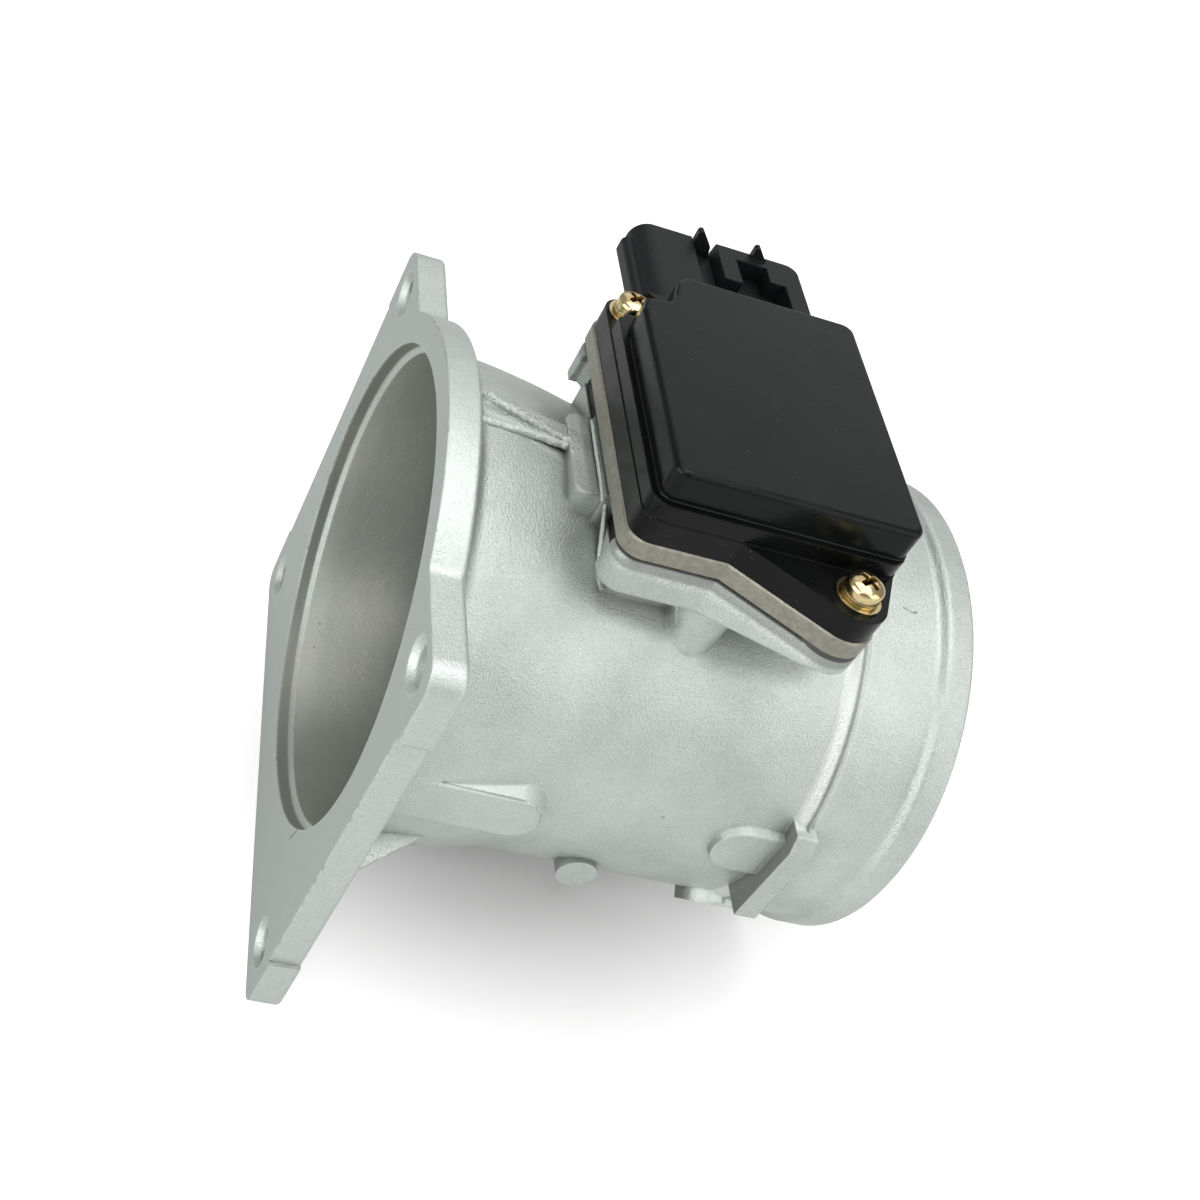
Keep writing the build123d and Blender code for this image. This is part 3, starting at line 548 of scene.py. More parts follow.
    # painted shadow under the ledge, a painted dark reflection between flange and tab, painted shade under
    # the ear and on the tab's face
    shades: tuple[Stroke, ...] = (
        Stroke((30.0, -21.4, 31.6), (39.0, -22.6, 30.6), 4.2, 0.42),
        Stroke((13.0, -9.0, 39.6), (25.0, -17.0, 35.4), 16.0, 0.14),
        Stroke((49.5, -24.0, 29.2), (62.0, -23.0, 29.4), 5.0, 0.36),
        Stroke((21.2, -10.4, 37.8), (21.2, 4.6, 37.8), 5.6, 0.26),
    )
    scratches_and_groove_shade: tuple[Stroke, ...] = (
        *fine_strokes((0.0, -32.4, -25.4), (0.0, -31.2, -29.6)),
        *fine_strokes((79.4, -13.7, 36.7), (80.6, -14.3, 36.6), (81.6, -14.0, 36.5)),
        # a painted shade line along the groove at the side pad's top edge
        *fine_strokes(
            (13.6, -40.6, 4.5),
            (26.2, -40.7, 4.3),
            (28.9, -40.8, 3.4),
            (30.4, -40.8, 1.8),
            (30.9, -40.8, -0.6),
        ),
    )

    def read(self, g: Graph) -> CastReadings:
        """Makes the values that several layers read.

        Args:
            g: the material's graph.

        Returns:
            The values.
        """
        length, outward = g.along(Axis.X), g.outward()
        ahead = g.ramp(g.facing(Axis.X), self.ahead_cosines)
        flat = g.product(ahead, g.reach(length, self.face_x))
        inside = g.ramp(outward, self.inward_cosines)
        rounded = g.soft_edge(self.edge)
        return CastReadings(
            grain=g.noise(self.grain),
            length=length,
            outward=outward,
            flat=flat,
            inside=inside,
            outer=g.ramp(outward, self.outer_cosines),
            smooth=g.largest(flat, inside),
            rim_side=g.product(g.ramp(outward, self.side_cosines), g.reach(length, self.flange_x)),
            register=g.product(ahead, g.band(length, self.register_x, self.register_soft)),
            on_tube=g.reach(g.radius(), self.tube_r, self.step_strength),
            crust=g.stroke(self.crust),
            rounded=rounded,
            edge=g.edges(rounded),
        )

    def metal(self, g: Graph, read: CastReadings) -> Socket:
        """Mixes the metal's own colour.

        Args:
            g: the material's graph.
            read: the shared values.

        Returns:
            The colour outside, on the flange and in the bore, with its grain.
        """
        body = g.mix(g.patches(self.mottle), self.dull, self.pale)
        body = g.mix(read.rim_side, body, self.brushed)
        lining = g.mix(g.patches(self.stains), self.bore, self.stain)
        # painted shade, darker deeper in the bore
        lining = g.mix(g.reach(read.length, self.bore_x, self.bore_shade), lining, self.dirt_and_shade)
        body = g.mix(g.largest(read.inside, read.register), body, lining)
        body = g.mix(read.flat, body, self.face)
        hollows = g.ramp(read.grain, self.grain_low, 0.0, self.grain_shade)
        calm = g.ramp(read.smooth, (0.0, 1.0), 1.0, self.smooth_shade)
        return g.mix(g.product(hollows, calm), body, self.dirt_and_shade)

    def glints(self, g: Graph, read: CastReadings) -> Socket:
        """Marks painted glints on the grains, thicker on the rib's crust, and a painted highlight along the
        saddle's edge.

        Args:
            g: the material's graph.
            read: the shared values.

        Returns:
            The share of the painted glint colour.
        """
        painted_glint = g.largest(
            g.product(g.flecks(self.sparks), g.patches(self.spark_patches)),
            g.product(g.flecks(self.crust_sparks), read.crust),
            *[g.product(g.stroke(line), g.ramp(read.grain, self.grain_high)) for line in self.ridge],
        )
        return g.product(painted_glint, g.ramp(read.smooth, (0.0, 1.0), self.sparkle, self.smooth_sparkle))

    def from_gap(self, span: Span) -> Span:
        """Returns the heights of a span that is counted from the gap below the base plate."""
        return self.gap_z + span[0], self.gap_z + span[1]

    def saddle_shade(self, g: Graph, read: CastReadings) -> Socket:
        """Marks the shade below the base plate.

        Args:
            g: the material's graph.
            read: the shared values.

        Returns:
            The share of painted shade: a painted reflection of the dark plate on the saddle's shoulder and a
                painted shadow in the crevice above it.
        """
        height = g.along(Axis.Z)
        shoulder = g.reach(height, self.from_gap(self.shoulder_above), self.shoulder_shade)
        crevice = g.reach(height, self.from_gap(self.crevice_above), self.crevice_shade)
        return g.product(g.largest(shoulder, crevice), g.reach(read.length, self.seat_x))

    def dirt_and_shade_marks(self, g: Graph, read: CastReadings) -> Socket:
        """Marks nicks, pits, scratches and a darker register, and painted shade: at the neck's step, on the
        bar, round the plug, in the rib's valley, below the base plate, behind the flange, along the side
        pad's groove and in the shade strokes.

        Args:
            g: the material's graph.
            read: the shared values.

        Returns:
            The share of dirt and painted shade.
        """
        nick = g.product(
            read.edge, g.reach(read.length, self.nick_x), g.patches(self.nicks, 0.0, self.nick_shade)
        )
        pit = g.product(g.flecks(self.pits), g.patches(self.pit_patches, 0.0, self.pit_shade))
        # painted shade line at the edge of the neck's step
        step_shade_line = g.band(read.length, self.step_shade_line_x, self.step_shade_line_soft)
        # painted shade on the bar's upstream side
        bar = g.product(
            g.ramp(g.facing(Axis.X), self.bar_cosines, 0.0, self.bar_shade), g.reach(read.length, self.bar_x)
        )
        # painted shade on the plug's side wall
        plug_side = g.ramp(g.facing(Axis.Y), self.plug_cosines, 0.0, self.plug_shade)
        # painted shade behind the flange
        root = g.product(
            g.reach(read.length, self.root_x),
            g.reach(read.length, self.root_start_x),
            g.ramp(read.outward, self.root_cosines),
            g.reach(g.along(Axis.Z), self.root_z, self.root_shade),
        )
        return g.largest(
            nick,
            pit,
            g.product(step_shade_line, read.on_tube, read.outer),
            bar,
            g.product(read.register, self.register_shade),
            *[g.product(g.stroke(shade), read.outer) for shade in self.shades],
            g.product(g.stroke(self.plug), plug_side, read.outer),
            g.stroke(self.valley),
            self.saddle_shade(g, read),
            root,
            *[g.stroke(line) for line in self.scratches_and_groove_shade],
        )

    def relief(self, g: Graph, read: CastReadings) -> Socket:
        """Lays waves, blasted grain and the crust's heaps over the rounded edges.

        Args:
            g: the material's graph.
            read: the shared values.

        Returns:
            The normal.
        """
        waves = g.bump(g.noise(self.waves), self.wave_depth, read.rounded)
        calm = g.largest(read.smooth, g.product(read.rim_side, self.rim_calm))
        blasted = g.product(read.grain, g.ramp(calm, (0.0, 1.0), 1.0, self.smooth_depth))
        heaps = g.product(g.noise(self.heaps), read.crust)
        return g.bump(heaps, self.heap_depth, g.bump(blasted, self.grain_depth, waves))

    def build(self) -> bpy.types.Material:
        """Builds the finish in layers: metal, painted glints, open edges brightened as wear and painted
        highlight, a painted highlight at the neck's step, painted shade in corners, dirt and painted shade
        marks, relief.

        Returns:
            The material.
        """
        g = Graph(self.name)
        read = self.read(g)
        open_air = g.openness(self.corner_reach)
        # open edges take the painted highlight colour: partly wear, partly painted highlight
        worn_lit_edges = g.product(read.edge, g.ramp(open_air, self.open_edges, 0.0, self.wear_and_highlight))
        # painted highlight on the turned step at the neck
        lit = g.product(read.on_tube, g.band(read.length, self.step_lit_x, self.step_lit_soft))
        body = g.mix(self.glints(g, read), self.metal(g, read), self.painted_glint)
        body = g.mix(worn_lit_edges, body, self.painted_glint)
        body = g.mix(lit, body, self.painted_glint)
        # painted shade in corners
        body = g.mix(g.ramp(open_air, self.corners, 0.0, self.corner_shade), body, self.dirt_and_shade)
        body = g.mix(self.dirt_and_shade_marks(g, read), body, self.dirt_and_shade)
        rough = g.ramp(read.grain, self.grain.fade, *self.roughness)
        g.dress(body, rough, self.relief(g, read), self.metallic)
        return g.material


@dataclass(frozen=True)
class BlackResin:
    """Moulded black plastic with a faint orange-peel, smears and dust; lengths in millimetres."""

    name: str = "black_resin"
    colour: Triple = (0.003, 0.0034, 0.0034)
    dusty: Triple = (0.006, 0.0066, 0.0064)
    dust: Triple = (0.12, 0.12, 0.115)
    roughness: float = 0.2
    peel_depth: float = 0.012
    edge: float = 0.35
    gloss: float = 0.22
    haze: Pattern = Pattern(0.07, 4.0, 0.6, (0.45, 0.75))
    smears: Pattern = Pattern(0.12, 4.0, 0.6, (0.35, 0.7))
    smear_roughness: float = 0.1
    grit: Specks = Specks(0.45, 0.06)
    grit_share: float = 0.5
    peel: Pattern = Pattern(1.6)
    matt: Triple = (0.0095, 0.0115, 0.012)
    matt_y: Span | None = None
    matt_roughness: float = 0.42

    def build(self) -> bpy.types.Material:
        """Builds the finish, with a matter part past matt_y where that is given.

        Returns:
            The material.
        """
        g = Graph(self.name)
        body = g.mix(g.patches(self.haze), self.colour, self.dusty)
        rough = g.patches(self.smears, self.roughness, self.roughness + self.smear_roughness)
        if self.matt_y is not None:
            shell = g.reach(g.along(Axis.Y), self.matt_y)
            body = g.mix(shell, body, self.matt)
            rough = g.largest(rough, g.product(shell, self.matt_roughness))
        body = g.mix(g.product(g.flecks(self.grit), self.grit_share), body, self.dust)
        relief = g.bump(g.noise(self.peel), self.peel_depth, g.soft_edge(self.edge))
        g.dress(body, rough, relief, 0.0, self.gloss)
        return g.material


@dataclass(frozen=True)
class Metal:
    """Bare or plated metal with mottled colour and fine grain; lengths in millimetres."""

    name: str
    colour: Triple
    tint: Triple
    roughness: float = 0.3
    roughness_spread: Span = (-0.05, 0.08)
    metallic: float = 1.0
    mottle_per_mm: float = 0.6
    mottle_fade: Span = (0.38, 0.62)
    grain: Pattern = Pattern(4.0)
    grain_depth: float = 0.01
    edge: float = 0.15
    # painted shade colour in hollows and between stacked parts
    hollow_shade: Triple | None = None
    hollow_reach: float = 1.2
    hollow_fade: Span = (0.8, 0.3)

    def build(self) -> bpy.types.Material:
        """Builds the finish, with a painted shade colour in hollows where that is given.

        Returns:
            The material.
        """
        g = Graph(self.name)
        mottle = Pattern(self.mottle_per_mm, 3.0, 0.6, self.mottle_fade)
        grain = g.noise(self.grain)
        body = g.mix(g.patches(mottle), self.colour, self.tint)
        if self.hollow_shade is not None:
            # painted shade in hollows
            body = g.mix(g.ramp(g.openness(self.hollow_reach), self.hollow_fade), body, self.hollow_shade)
        rough = g.ramp(grain, self.grain.fade, *[self.roughness + v for v in self.roughness_spread])
        g.dress(body, rough, g.bump(grain, self.grain_depth, g.soft_edge(self.edge)), self.metallic)
        return g.material


@dataclass(frozen=True)
class Matt:
    """Matt ceramic, resin or rubber with fine speckle; lengths in millimetres."""

    name: str
    colour: Triple
    speck: Triple
    roughness: float = 0.6
    roughness_spread: Span = (-0.08, 0.08)
    edge: float = 0.1
    speckle: Pattern = Pattern(3.0, 3.0, 0.6)
    speck_fade: Span = (0.48, 0.66)
    speckle_depth: float = 0.015

    def build(self) -> bpy.types.Material:
        """Returns the material."""
        g = Graph(self.name)
        speckle = g.noise(self.speckle)
        body = g.mix(g.ramp(speckle, self.speck_fade), self.colour, self.speck)
        rough = g.ramp(speckle, self.speckle.fade, *[self.roughness + v for v in self.roughness_spread])
        g.dress(body, rough, g.bump(speckle, self.speckle_depth, g.soft_edge(self.edge)), 0.0)
        return g.material


Finish = CastAlloy | BlackResin | Metal | Matt
Nodes = dict[str, bpy.types.Object]


def finish_nodes(nodes: Nodes, finish: Finish, *names: str) -> None:
    """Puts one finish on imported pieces.

    Args:
        nodes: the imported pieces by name.
        finish: the finish.
        names: the pieces that take it.
    """
    material = finish.build()
    for name in names:
        for slot in nodes[name].material_slots:
            slot.material = material
        LOG.info("%s wears %s", name, material.name)


def pick(piece: bpy.types.Object) -> None:
    """Makes one object the only selected and active one."""
    bpy.ops.object.select_all(action="DESELECT")
    piece.select_set(True)
    bpy.context.view_layer.objects.active = piece


def apply(piece: bpy.types.Object, kind: str, **settings: object) -> None:
    """Adds a modifier and applies it.

    Args:
        piece: the object.
        kind: the modifier's type.
        settings: the modifier's attributes.
    """
    pick(piece)
    made = piece.modifiers.new(kind.lower(), kind)
    for key, value in settings.items():
        setattr(made, key, value)
    bpy.ops.object.modifier_apply(modifier=made.name)


@dataclass(frozen=True)
class Lumps:
    """Uneven surface of a thin piece.

    The lumps' size and height, and the distance below which points are one, are in millimetres.
    The rest is the pattern's value that leaves the surface where it is.
    """

    size: float
    height: float
    doubles: float
    rest: float = 0.5

    def press(self, piece: bpy.types.Object, name: str) -> None:
        """Closes a tube's seams, makes it uneven, and turns its faces outwards.

        Args:
            piece: the tube.
            name: name of the pattern.
        """
        clouds = bpy.data.textures.new(name, "CLOUDS")
        clouds.noise_scale = self.size * MM
        apply(piece, "WELD", merge_threshold=self.doubles * MM)
        apply(piece, "DISPLACE", texture=clouds, strength=self.height * MM, mid_level=self.rest)
        pick(piece)
        bpy.ops.object.mode_set(mode="EDIT")
        bpy.ops.mesh.select_all(action="SELECT")
        bpy.ops.mesh.normals_make_consistent(inside=False)
        bpy.ops.object.mode_set(mode="OBJECT")
        bpy.ops.object.shade_smooth()


def mount(piece: bpy.types.Object, finish: Finish) -> None:
    """Gives a new piece its finish and its body.

    Args:
        piece: the new piece.
        finish: the finish.
    """
    piece.data.materials.clear()
    piece.data.materials.append(finish.build())
    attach(piece, ROOT)
    LOG.info("%s has %d faces", piece.name, len(piece.data.polygons))


@dataclass(frozen=True)
class SeamLine:
    """A thin raised line that lies half in the surface.

    Its knots are five points, each with the line's radius there, and its lumps are the height of
    its uneven surface, all in millimetres.
    """

    name: str
    lumps: float
    knots: tuple[tuple[float, float, float, float], ...]
    lump_size: float = 0.9
    doubles: float = 0.005
    ring_steps: int = 3
    path_steps: int = 24

    def build(self) -> bpy.types.Object:
        """Draws the path, turns it into a tube and makes that uneven.

        Returns:
            The new piece.
        """
        bpy.ops.curve.primitive_nurbs_path_add(location=(0, 0, 0))
        piece = bpy.context.object
        piece.name = self.name
        piece.data.dimensions = "3D"
        for point, (x, y, z, radius) in zip(piece.data.splines[0].points, self.knots):
            point.co = (x * MM, y * MM, z * MM, 1)
            point.radius = radius
        piece.data.bevel_depth = MM
        piece.data.bevel_resolution = self.ring_steps
        piece.data.resolution_u = self.path_steps
        piece.data.use_fill_caps = True
        bpy.ops.object.convert(target="MESH")
        Lumps(self.lump_size, self.lumps, self.doubles).press(piece, self.name + "_lumps")
        return piece


@dataclass
class CastDuct:
    """The casting: tube, flange with lugs, saddle, pads and bosses, and the lines cast on it."""

    nodes: Nodes
    finish: CastAlloy = CastAlloy()
    crusty: CastAlloy = CastAlloy(
        "cast_crust", (0.82, 0.88, 0.83), (0.68, 0.73, 0.69), grain_depth=0.2, corner_reach=1.0, gap_z=60.0
    )
    lines: tuple[SeamLine, ...] = (
        SeamLine("rib_crest", 0.7, (
            (6.4, 5.9, 41.1, 1.0),
            (10.2, 3.5, 41.25, 0.95),
            (13.4, 2.0, 41.25, 0.9),
            (17.2, 0.5, 41.2, 0.85),
            (21.6, -0.7, 41.1, 0.7),
        )),
        SeamLine("rib_foot", 0.5, (
            (6.4, -1.2, 41.2, 0.85),
            (10.6, -1.2, 41.1, 0.8),
            (14.4, -1.1, 40.9, 0.75),
            (18.0, -1.0, 40.7, 0.7),
            (21.6, -1.4, 40.6, 0.7),
        )),
        SeamLine("column_flash", 0.1, (
            (39.9, -22.2, 34.8, 0.4),
            (40.3, -23.3, 32.6, 0.36),
            (40.9, -24.3, 30.9, 0.3),
            (42.2, -25.5, 29.3, 0.24),
            (44.4, -26.2, 27.7, 0.12),
        )),
        SeamLine("column_crescent", 0.1, (
            (41.0, -24.4, 31.2, 0.2),
            (40.9, -24.4, 32.6, 0.26),
            (41.3, -24.8, 33.8, 0.26),
            (42.6, -25.6, 34.6, 0.22),
            (44.4, -26.1, 34.9, 0.12),
        )),
        SeamLine("window_fin", 0.15, (
            (26.2, -12.6, 40.9, 0.32),
            (27.5, -13.3, 37.4, 0.38),
            (27.6, -16.9, 34.9, 0.42),
            (27.5, -19.8, 32.9, 0.5),
            (28.9, -21.2, 31.9, 0.6),
        )),
        SeamLine("wall_edge", 0.15, (
            (25.3, 4.4, 42.2, 0.25),
            (25.3, 0.0, 42.2, 0.34),
            (25.3, -6.0, 42.2, 0.36),
            (25.3, -11.2, 42.2, 0.36),
            (25.6, -12.7, 41.2, 0.3),
        )),
    )

    def build(self) -> None:
        """Dresses the casting and adds the thin lines on its rib, its column and its window."""
        finish_nodes(self.nodes, self.finish, "meter_body")
        for line in self.lines:
            mount(line.build(), self.crusty)


@dataclass
class Module:
    """Plate, frame with connector shell, lid and the adhesive between them, in millimetres.

    The seam's open corner is where the lid hides it: nothing is laid below its X and past its Y.
    """

    nodes: Nodes
    seam_x: Span = (27.0, 66.0)
    seam_half_y: float = 24.4
    seam_z: float = 54.1
    corner_r: float = 2.2
    corner_steps: int = 6
    side_cuts: int = 15
    open_corner: Span = (37.5, 11.5)
    bead_r: float = 0.26
    bead_steps: int = 2
    lumps: Lumps = Lumps(1.6, 0.22, 0.0052, 0.4)
    plate: Metal = Metal(
        "plate_metal",
        (0.36, 0.35, 0.295),
        (0.29, 0.28, 0.235),
        roughness=0.36,
        metallic=0.6,
        mottle_per_mm=0.9,
        grain_depth=0.03,
        edge=0.3,
    )
    frame: BlackResin = BlackResin("frame_resin", matt_y=(24.5, 26.5))
    lid: BlackResin = BlackResin(
        "lid_resin", (0.0035, 0.0056, 0.0052), (0.006, 0.0085, 0.008), roughness=0.18, gloss=0.2
    )
    gel: Matt = Matt("cured_gel", (0.015, 0.015, 0.016), (0.03, 0.03, 0.03), 0.3)
    glue: BlackResin = BlackResin("pressed_glue", edge=0.05)

    def seam_path(self) -> bpy.types.Object:
        """Draws the seam as a rounded rectangle of bare edges, open at one corner.

        Returns:
            The new piece.
        """
        x0, x1 = self.seam_x
        middle = ((x0 + x1) / 2 * MM, 0, self.seam_z * MM)
        bpy.ops.mesh.primitive_plane_add(size=1, location=middle)
        piece = bpy.context.object
        piece.name = "seam_glue"
        piece.scale = ((x1 - x0) * MM, 2 * self.seam_half_y * MM, 1)
        bpy.ops.object.transform_apply(location=True, scale=True)
        bpy.ops.object.mode_set(mode="EDIT")
        bpy.ops.mesh.select_all(action="SELECT")
        bpy.ops.mesh.bevel(offset=self.corner_r * MM, segments=self.corner_steps, affect="VERTICES")
        bpy.ops.mesh.delete(type="ONLY_FACE")
        bpy.ops.mesh.select_all(action="SELECT")
        bpy.ops.mesh.subdivide(number_cuts=self.side_cuts)
        bpy.ops.mesh.select_all(action="DESELECT")
        bpy.ops.object.mode_set(mode="OBJECT")
        limit = Vector(self.open_corner) * MM
        for vertex in piece.data.vertices:
            vertex.select = vertex.co.x < limit.x and vertex.co.y > limit.y
        bpy.ops.object.mode_set(mode="EDIT")
        bpy.ops.mesh.delete(type="VERT")
        bpy.ops.object.mode_set(mode="OBJECT")
        return piece

    def seam_glue(self) -> bpy.types.Object:
        """Lays the adhesive that is pressed out below the lid's edge.

        Returns:
            The new piece.
        """
        piece = self.seam_path()
        bpy.ops.object.convert(target="CURVE")
        piece.data.bevel_depth = self.bead_r * MM
        piece.data.bevel_resolution = self.bead_steps
        piece.data.use_fill_caps = True
        bpy.ops.object.convert(target="MESH")
        self.lumps.press(piece, "glue_lumps")
        return piece

    def build(self) -> None:
        """Dresses the plate, frame and lid and lays the adhesive."""
        finish_nodes(self.nodes, self.plate, "base_plate")
        finish_nodes(self.nodes, self.frame, "module_housing")
        finish_nodes(self.nodes, self.lid, "module_cover")
        finish_nodes(self.nodes, self.gel, "cover_bead")
        mount(self.seam_glue(), self.glue)


@dataclass
class Fasteners:
    """Screws, washers and sleeves."""

    nodes: Nodes
    zinc: Metal = Metal(
        "yellow_zinc",
        (0.86, 0.78, 0.42),
        (0.78, 0.56, 0.3),
        roughness=0.16,
        mottle_per_mm=0.7,
        grain_depth=0.008,
        edge=0.16,
        hollow_shade=(0.14, 0.08, 0.02),
    )
    brass: Metal = Metal("sleeve_brass", (0.75, 0.6, 0.33), (0.7, 0.55, 0.3), 0.35)

    def build(self) -> None:
        """Dresses the fasteners."""
        finish_nodes(self.nodes, self.zinc, "module_screws", "flat_washers", "spring_washers")
        finish_nodes(self.nodes, self.brass, "compression_sleeves")


@dataclass
class Probe:
    """Probe in the air stream with its seal, pins and two elements."""

    nodes: Nodes
    resin: BlackResin = BlackResin("probe_resin", roughness=0.34)
    rubber: Matt = Matt("seal_rubber", (0.012, 0.012, 0.012), (0.03, 0.03, 0.03), 0.65)
    element: Matt = Matt("glazed_element", (0.62, 0.58, 0.5), (0.5, 0.46, 0.4), 0.25, edge=0.05)
    tin: Metal = Metal("probe_tin", (0.72, 0.72, 0.7), (0.64, 0.64, 0.62), 0.28, edge=0.08)

    def build(self) -> None:
        """Dresses the probe's pieces."""
        finish_nodes(self.nodes, self.resin, "probe_body", "duct_lid")
        finish_nodes(self.nodes, self.rubber, "probe_seal")
        finish_nodes(self.nodes, self.element, "hot_wire_element", "temperature_element")
        finish_nodes(self.nodes, self.tin, "sensor_pins")


@dataclass
class Circuit:
    """Board with its chips, leads and the connector's blades."""

    nodes: Nodes
    board: Matt = Matt("board_ceramic", (0.78, 0.76, 0.7), (0.68, 0.66, 0.6), 0.45)
    gel: Matt = Matt("board_gel", (0.5, 0.5, 0.48), (0.4, 0.4, 0.38), 0.35)
    chip: Matt = Matt("chip_resin", (0.02, 0.02, 0.021), (0.04, 0.04, 0.042), 0.5)
    capacitor: Matt = Matt("capacitor_ceramic", (0.5, 0.36, 0.24), (0.42, 0.3, 0.2), 0.4)
    tin: Metal = Metal("blade_tin", (0.74, 0.74, 0.72), (0.66, 0.66, 0.64), 0.26, edge=0.1)
    copper: Metal = Metal("lead_copper", (0.8, 0.5, 0.36), (0.74, 0.44, 0.3), 0.3, edge=0.05)

    def build(self) -> None:
        """Dresses the circuit's pieces."""
        finish_nodes(self.nodes, self.board, "ceramic_board")
        finish_nodes(self.nodes, self.gel, "board_glue")
        finish_nodes(self.nodes, self.chip, "board_chips", "chip_resistors", "power_transistor")
        finish_nodes(self.nodes, self.capacitor, "chip_capacitors")
        finish_nodes(self.nodes, self.tin, "connector_terminals")
        finish_nodes(self.nodes, self.copper, "terminal_leads", "pin_leads")


@dataclass(frozen=True)
class Lamp:
    """A square soft lamp that looks at the object: place and side in metres, power in watts."""

    name: str
    place: Triple
    size: float
    power: float

    def hang(self, target: Triple) -> None:
        """Makes the lamp.

        Args:
            target: the point that it looks at, in metres.
        """
        data = bpy.data.lights.new(self.name, "AREA")
        data.size, data.energy = self.size, self.power
        lamp = bpy.data.objects.new(self.name, data)
        bpy.context.scene.collection.objects.link(lamp)
        lamp.location = self.place
        look = Vector(target) - Vector(self.place)
        lamp.rotation_euler = look.to_track_quat("-Z", "Y").to_euler()


@dataclass(frozen=True)
class Paper:
    """White paper: its colour, the glow that lifts it away from the object, and where in metres."""

    colour: Triple = (0.5, 0.5, 0.495)
    fibre: Pattern = Pattern(0.5, 3.0)
    fibre_tone: float = 0.99
    fibre_depth: float = 0.02
    roughness: Span = (0.85, 0.95)
    glow: Span = (0.18, 0.85)
    glow_reach: Span = (0.049, 0.085)
    glossy_glow: float = 0.3

    def build(self, middle: Triple) -> bpy.types.Material:
        """Builds a paper that glows, but lights nothing.

        Camera and transmission rays see the whole glow and glossy rays a part of it, so that the
        floor is white around the object and keeps the object's shadow.

        Args:
            middle: the point from which the glow grows, in metres.

        Returns:
            The material.
        """
        g = Graph("studio_paper")
        fibre = g.noise(self.fibre)
        tone = g.mix(fibre, self.colour, tuple(self.fibre_tone * v for v in self.colour))
        rough = g.ramp(fibre, self.fibre.fade, *self.roughness)
        g.dress(tone, rough, g.bump(fibre, self.fibre_depth), 0.0)
        path = g.node("LightPath").outputs
        seen = g.largest(
            path[Ray.CAMERA.value],
            g.product(path[Ray.GLOSSY.value], self.glossy_glow),
            path[Ray.TRANSMISSION.value],
        )
        away = g.node("VectorMath", operation="DISTANCE")
        g.link(g.place(), away.inputs[0])
        away.inputs[1].default_value = middle
        strength = g.product(seen, g.ramp(away.outputs["Value"], self.glow_reach, *self.glow))
        light = g.node("Emission")
        g.link(strength, light.inputs["Strength"])
        both = g.node("AddShader")
        g.link(g.shader.outputs[0], both.inputs[0])
        g.link(light.outputs[0], both.inputs[1])
        g.link(both.outputs[0], g.output.inputs[0])
        return g.material


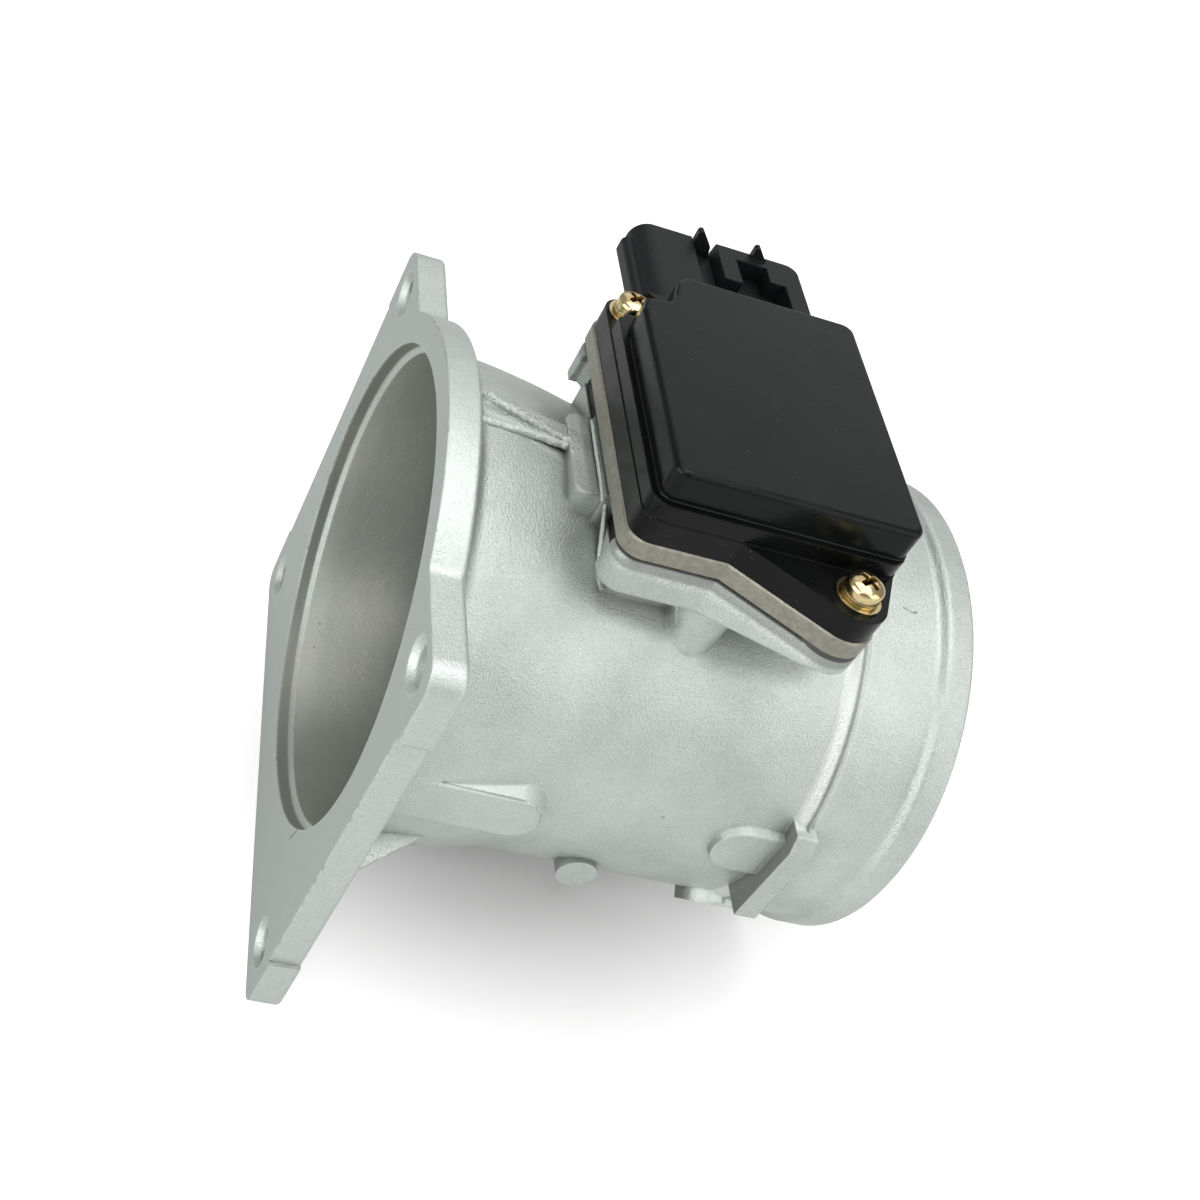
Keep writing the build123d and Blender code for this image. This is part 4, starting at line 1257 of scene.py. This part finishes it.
@dataclass(frozen=True)
class Studio:
    """Floor, light and camera; lengths in metres.

    The camera's place and its three directions are fitted to the photograph. The object rests on
    two points, each given by its X and Z.
    """

    eye: Triple = (-0.06032, -0.18362, 0.18307)
    right: Triple = (0.9435939572, -0.0053868614, 0.3310610603)
    down: Triple = (0.2335637911, -0.6978792336, -0.6770616890)
    ahead: Triple = (0.2346878765, 0.7161951948, -0.6572564519)
    lens: float = 48.1008
    sensor: float = 36.0
    shift: Span = (0.18597, -0.06406)
    clip: Span = (0.01, 20.0)
    rest_front: Span = (0.0, -0.0527)
    rest_back: Span = (0.0916, -0.0404)
    floor_side: float = 6.0
    target: Triple = (0.045, 0.0, 0.0)
    paper: Paper = Paper()
    sky: float = 0.28
    sky_seen: tuple[tuple[Ray, float], ...] = ((Ray.CAMERA, 1.0), (Ray.TRANSMISSION, 1.0), (Ray.GLOSSY, 0.3))
    lamps: tuple[Lamp, ...] = (
        Lamp("top_lamp", (0.045, 0.0, 0.9), 0.8, 4.4),
        Lamp("left_lamp", (-0.8, -0.4, 0.15), 0.8, 5.6),
        Lamp("right_lamp", (0.65, -0.5, 0.5), 0.8, 2.6),
        Lamp("back_lamp", (0.26, 0.72, 0.62), 0.8, 0.95),
        Lamp("key_lamp", (-0.25, -0.5, 0.75), 0.12, 0.8),
    )

    def camera(self) -> None:
        """Makes the camera at the photograph's place."""
        data = bpy.data.cameras.new("camera")
        data.lens, data.sensor_width = self.lens, self.sensor
        data.shift_x, data.shift_y = self.shift
        data.clip_start, data.clip_end = self.clip
        camera = bpy.data.objects.new("camera", data)
        bpy.context.scene.collection.objects.link(camera)
        turn = Matrix((self.right, [-v for v in self.down], [-v for v in self.ahead])).transposed()
        camera.matrix_world = Matrix.Translation(self.eye) @ turn.to_4x4()
        bpy.context.scene.camera = camera

    def floor(self) -> None:
        """Lays the pale floor under the flange's lower edge and the outlet rim."""
        (x0, z0), (x1, z1) = self.rest_front, self.rest_back
        along = Vector((x1 - x0, 0, z1 - z0)).normalized()
        up = Vector((-along.z, 0, along.x))
        bpy.ops.mesh.primitive_plane_add(size=self.floor_side, location=(0, 0, 0))
        floor = bpy.context.object
        floor.name = "studio_floor"
        turn = Matrix((along, Vector((0, 1, 0)), up)).transposed().to_4x4()
        floor.data.transform(Matrix.Translation((x0, 0, z0)) @ turn)
        floor.data.materials.append(self.paper.build(self.target))

    def world(self) -> None:
        """Makes a dim white sky that is brighter to the rays that see it."""
        world = bpy.data.worlds.new("studio")
        world.use_nodes = True
        tree = world.node_tree
        path = tree.nodes.new("ShaderNodeLightPath").outputs
        strength = None
        for ray, level in self.sky_seen:
            seen = tree.nodes.new("ShaderNodeMath")
            seen.operation = Blend.MULTIPLY.value
            seen.inputs[1].default_value = level
            tree.links.new(path[ray.value], seen.inputs[0])
            larger = tree.nodes.new("ShaderNodeMath")
            larger.operation = Blend.LARGER.value
            larger.inputs[1].default_value = self.sky
            tree.links.new(seen.outputs[0], larger.inputs[0])
            if strength is not None:
                tree.links.new(strength, larger.inputs[1])
            strength = larger.outputs[0]
        background = tree.nodes["Background"]
        background.inputs["Color"].default_value = (1, 1, 1, 1)
        tree.links.new(strength, background.inputs["Strength"])
        bpy.context.scene.world = world

    def build(self) -> None:
        """Builds the studio and keeps colours as they are written."""
        bpy.context.scene.view_settings.view_transform = "Standard"
        self.floor()
        self.camera()
        self.world()
        for lamp in self.lamps:
            lamp.hang(self.target)


def main() -> None:
    """Builds and dresses the sub-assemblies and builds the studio."""
    logging.basicConfig(level=logging.INFO, format="%(message)s")
    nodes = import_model()["nodes"]
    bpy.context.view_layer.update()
    bpy.ops.object.select_all(action="DESELECT")
    for assembly in (CastDuct(nodes), Module(nodes), Fasteners(nodes), Probe(nodes), Circuit(nodes)):
        assembly.build()
        LOG.info("%s is built", type(assembly).__name__)
    Studio().build()


if __name__ == "__main__":
    main()
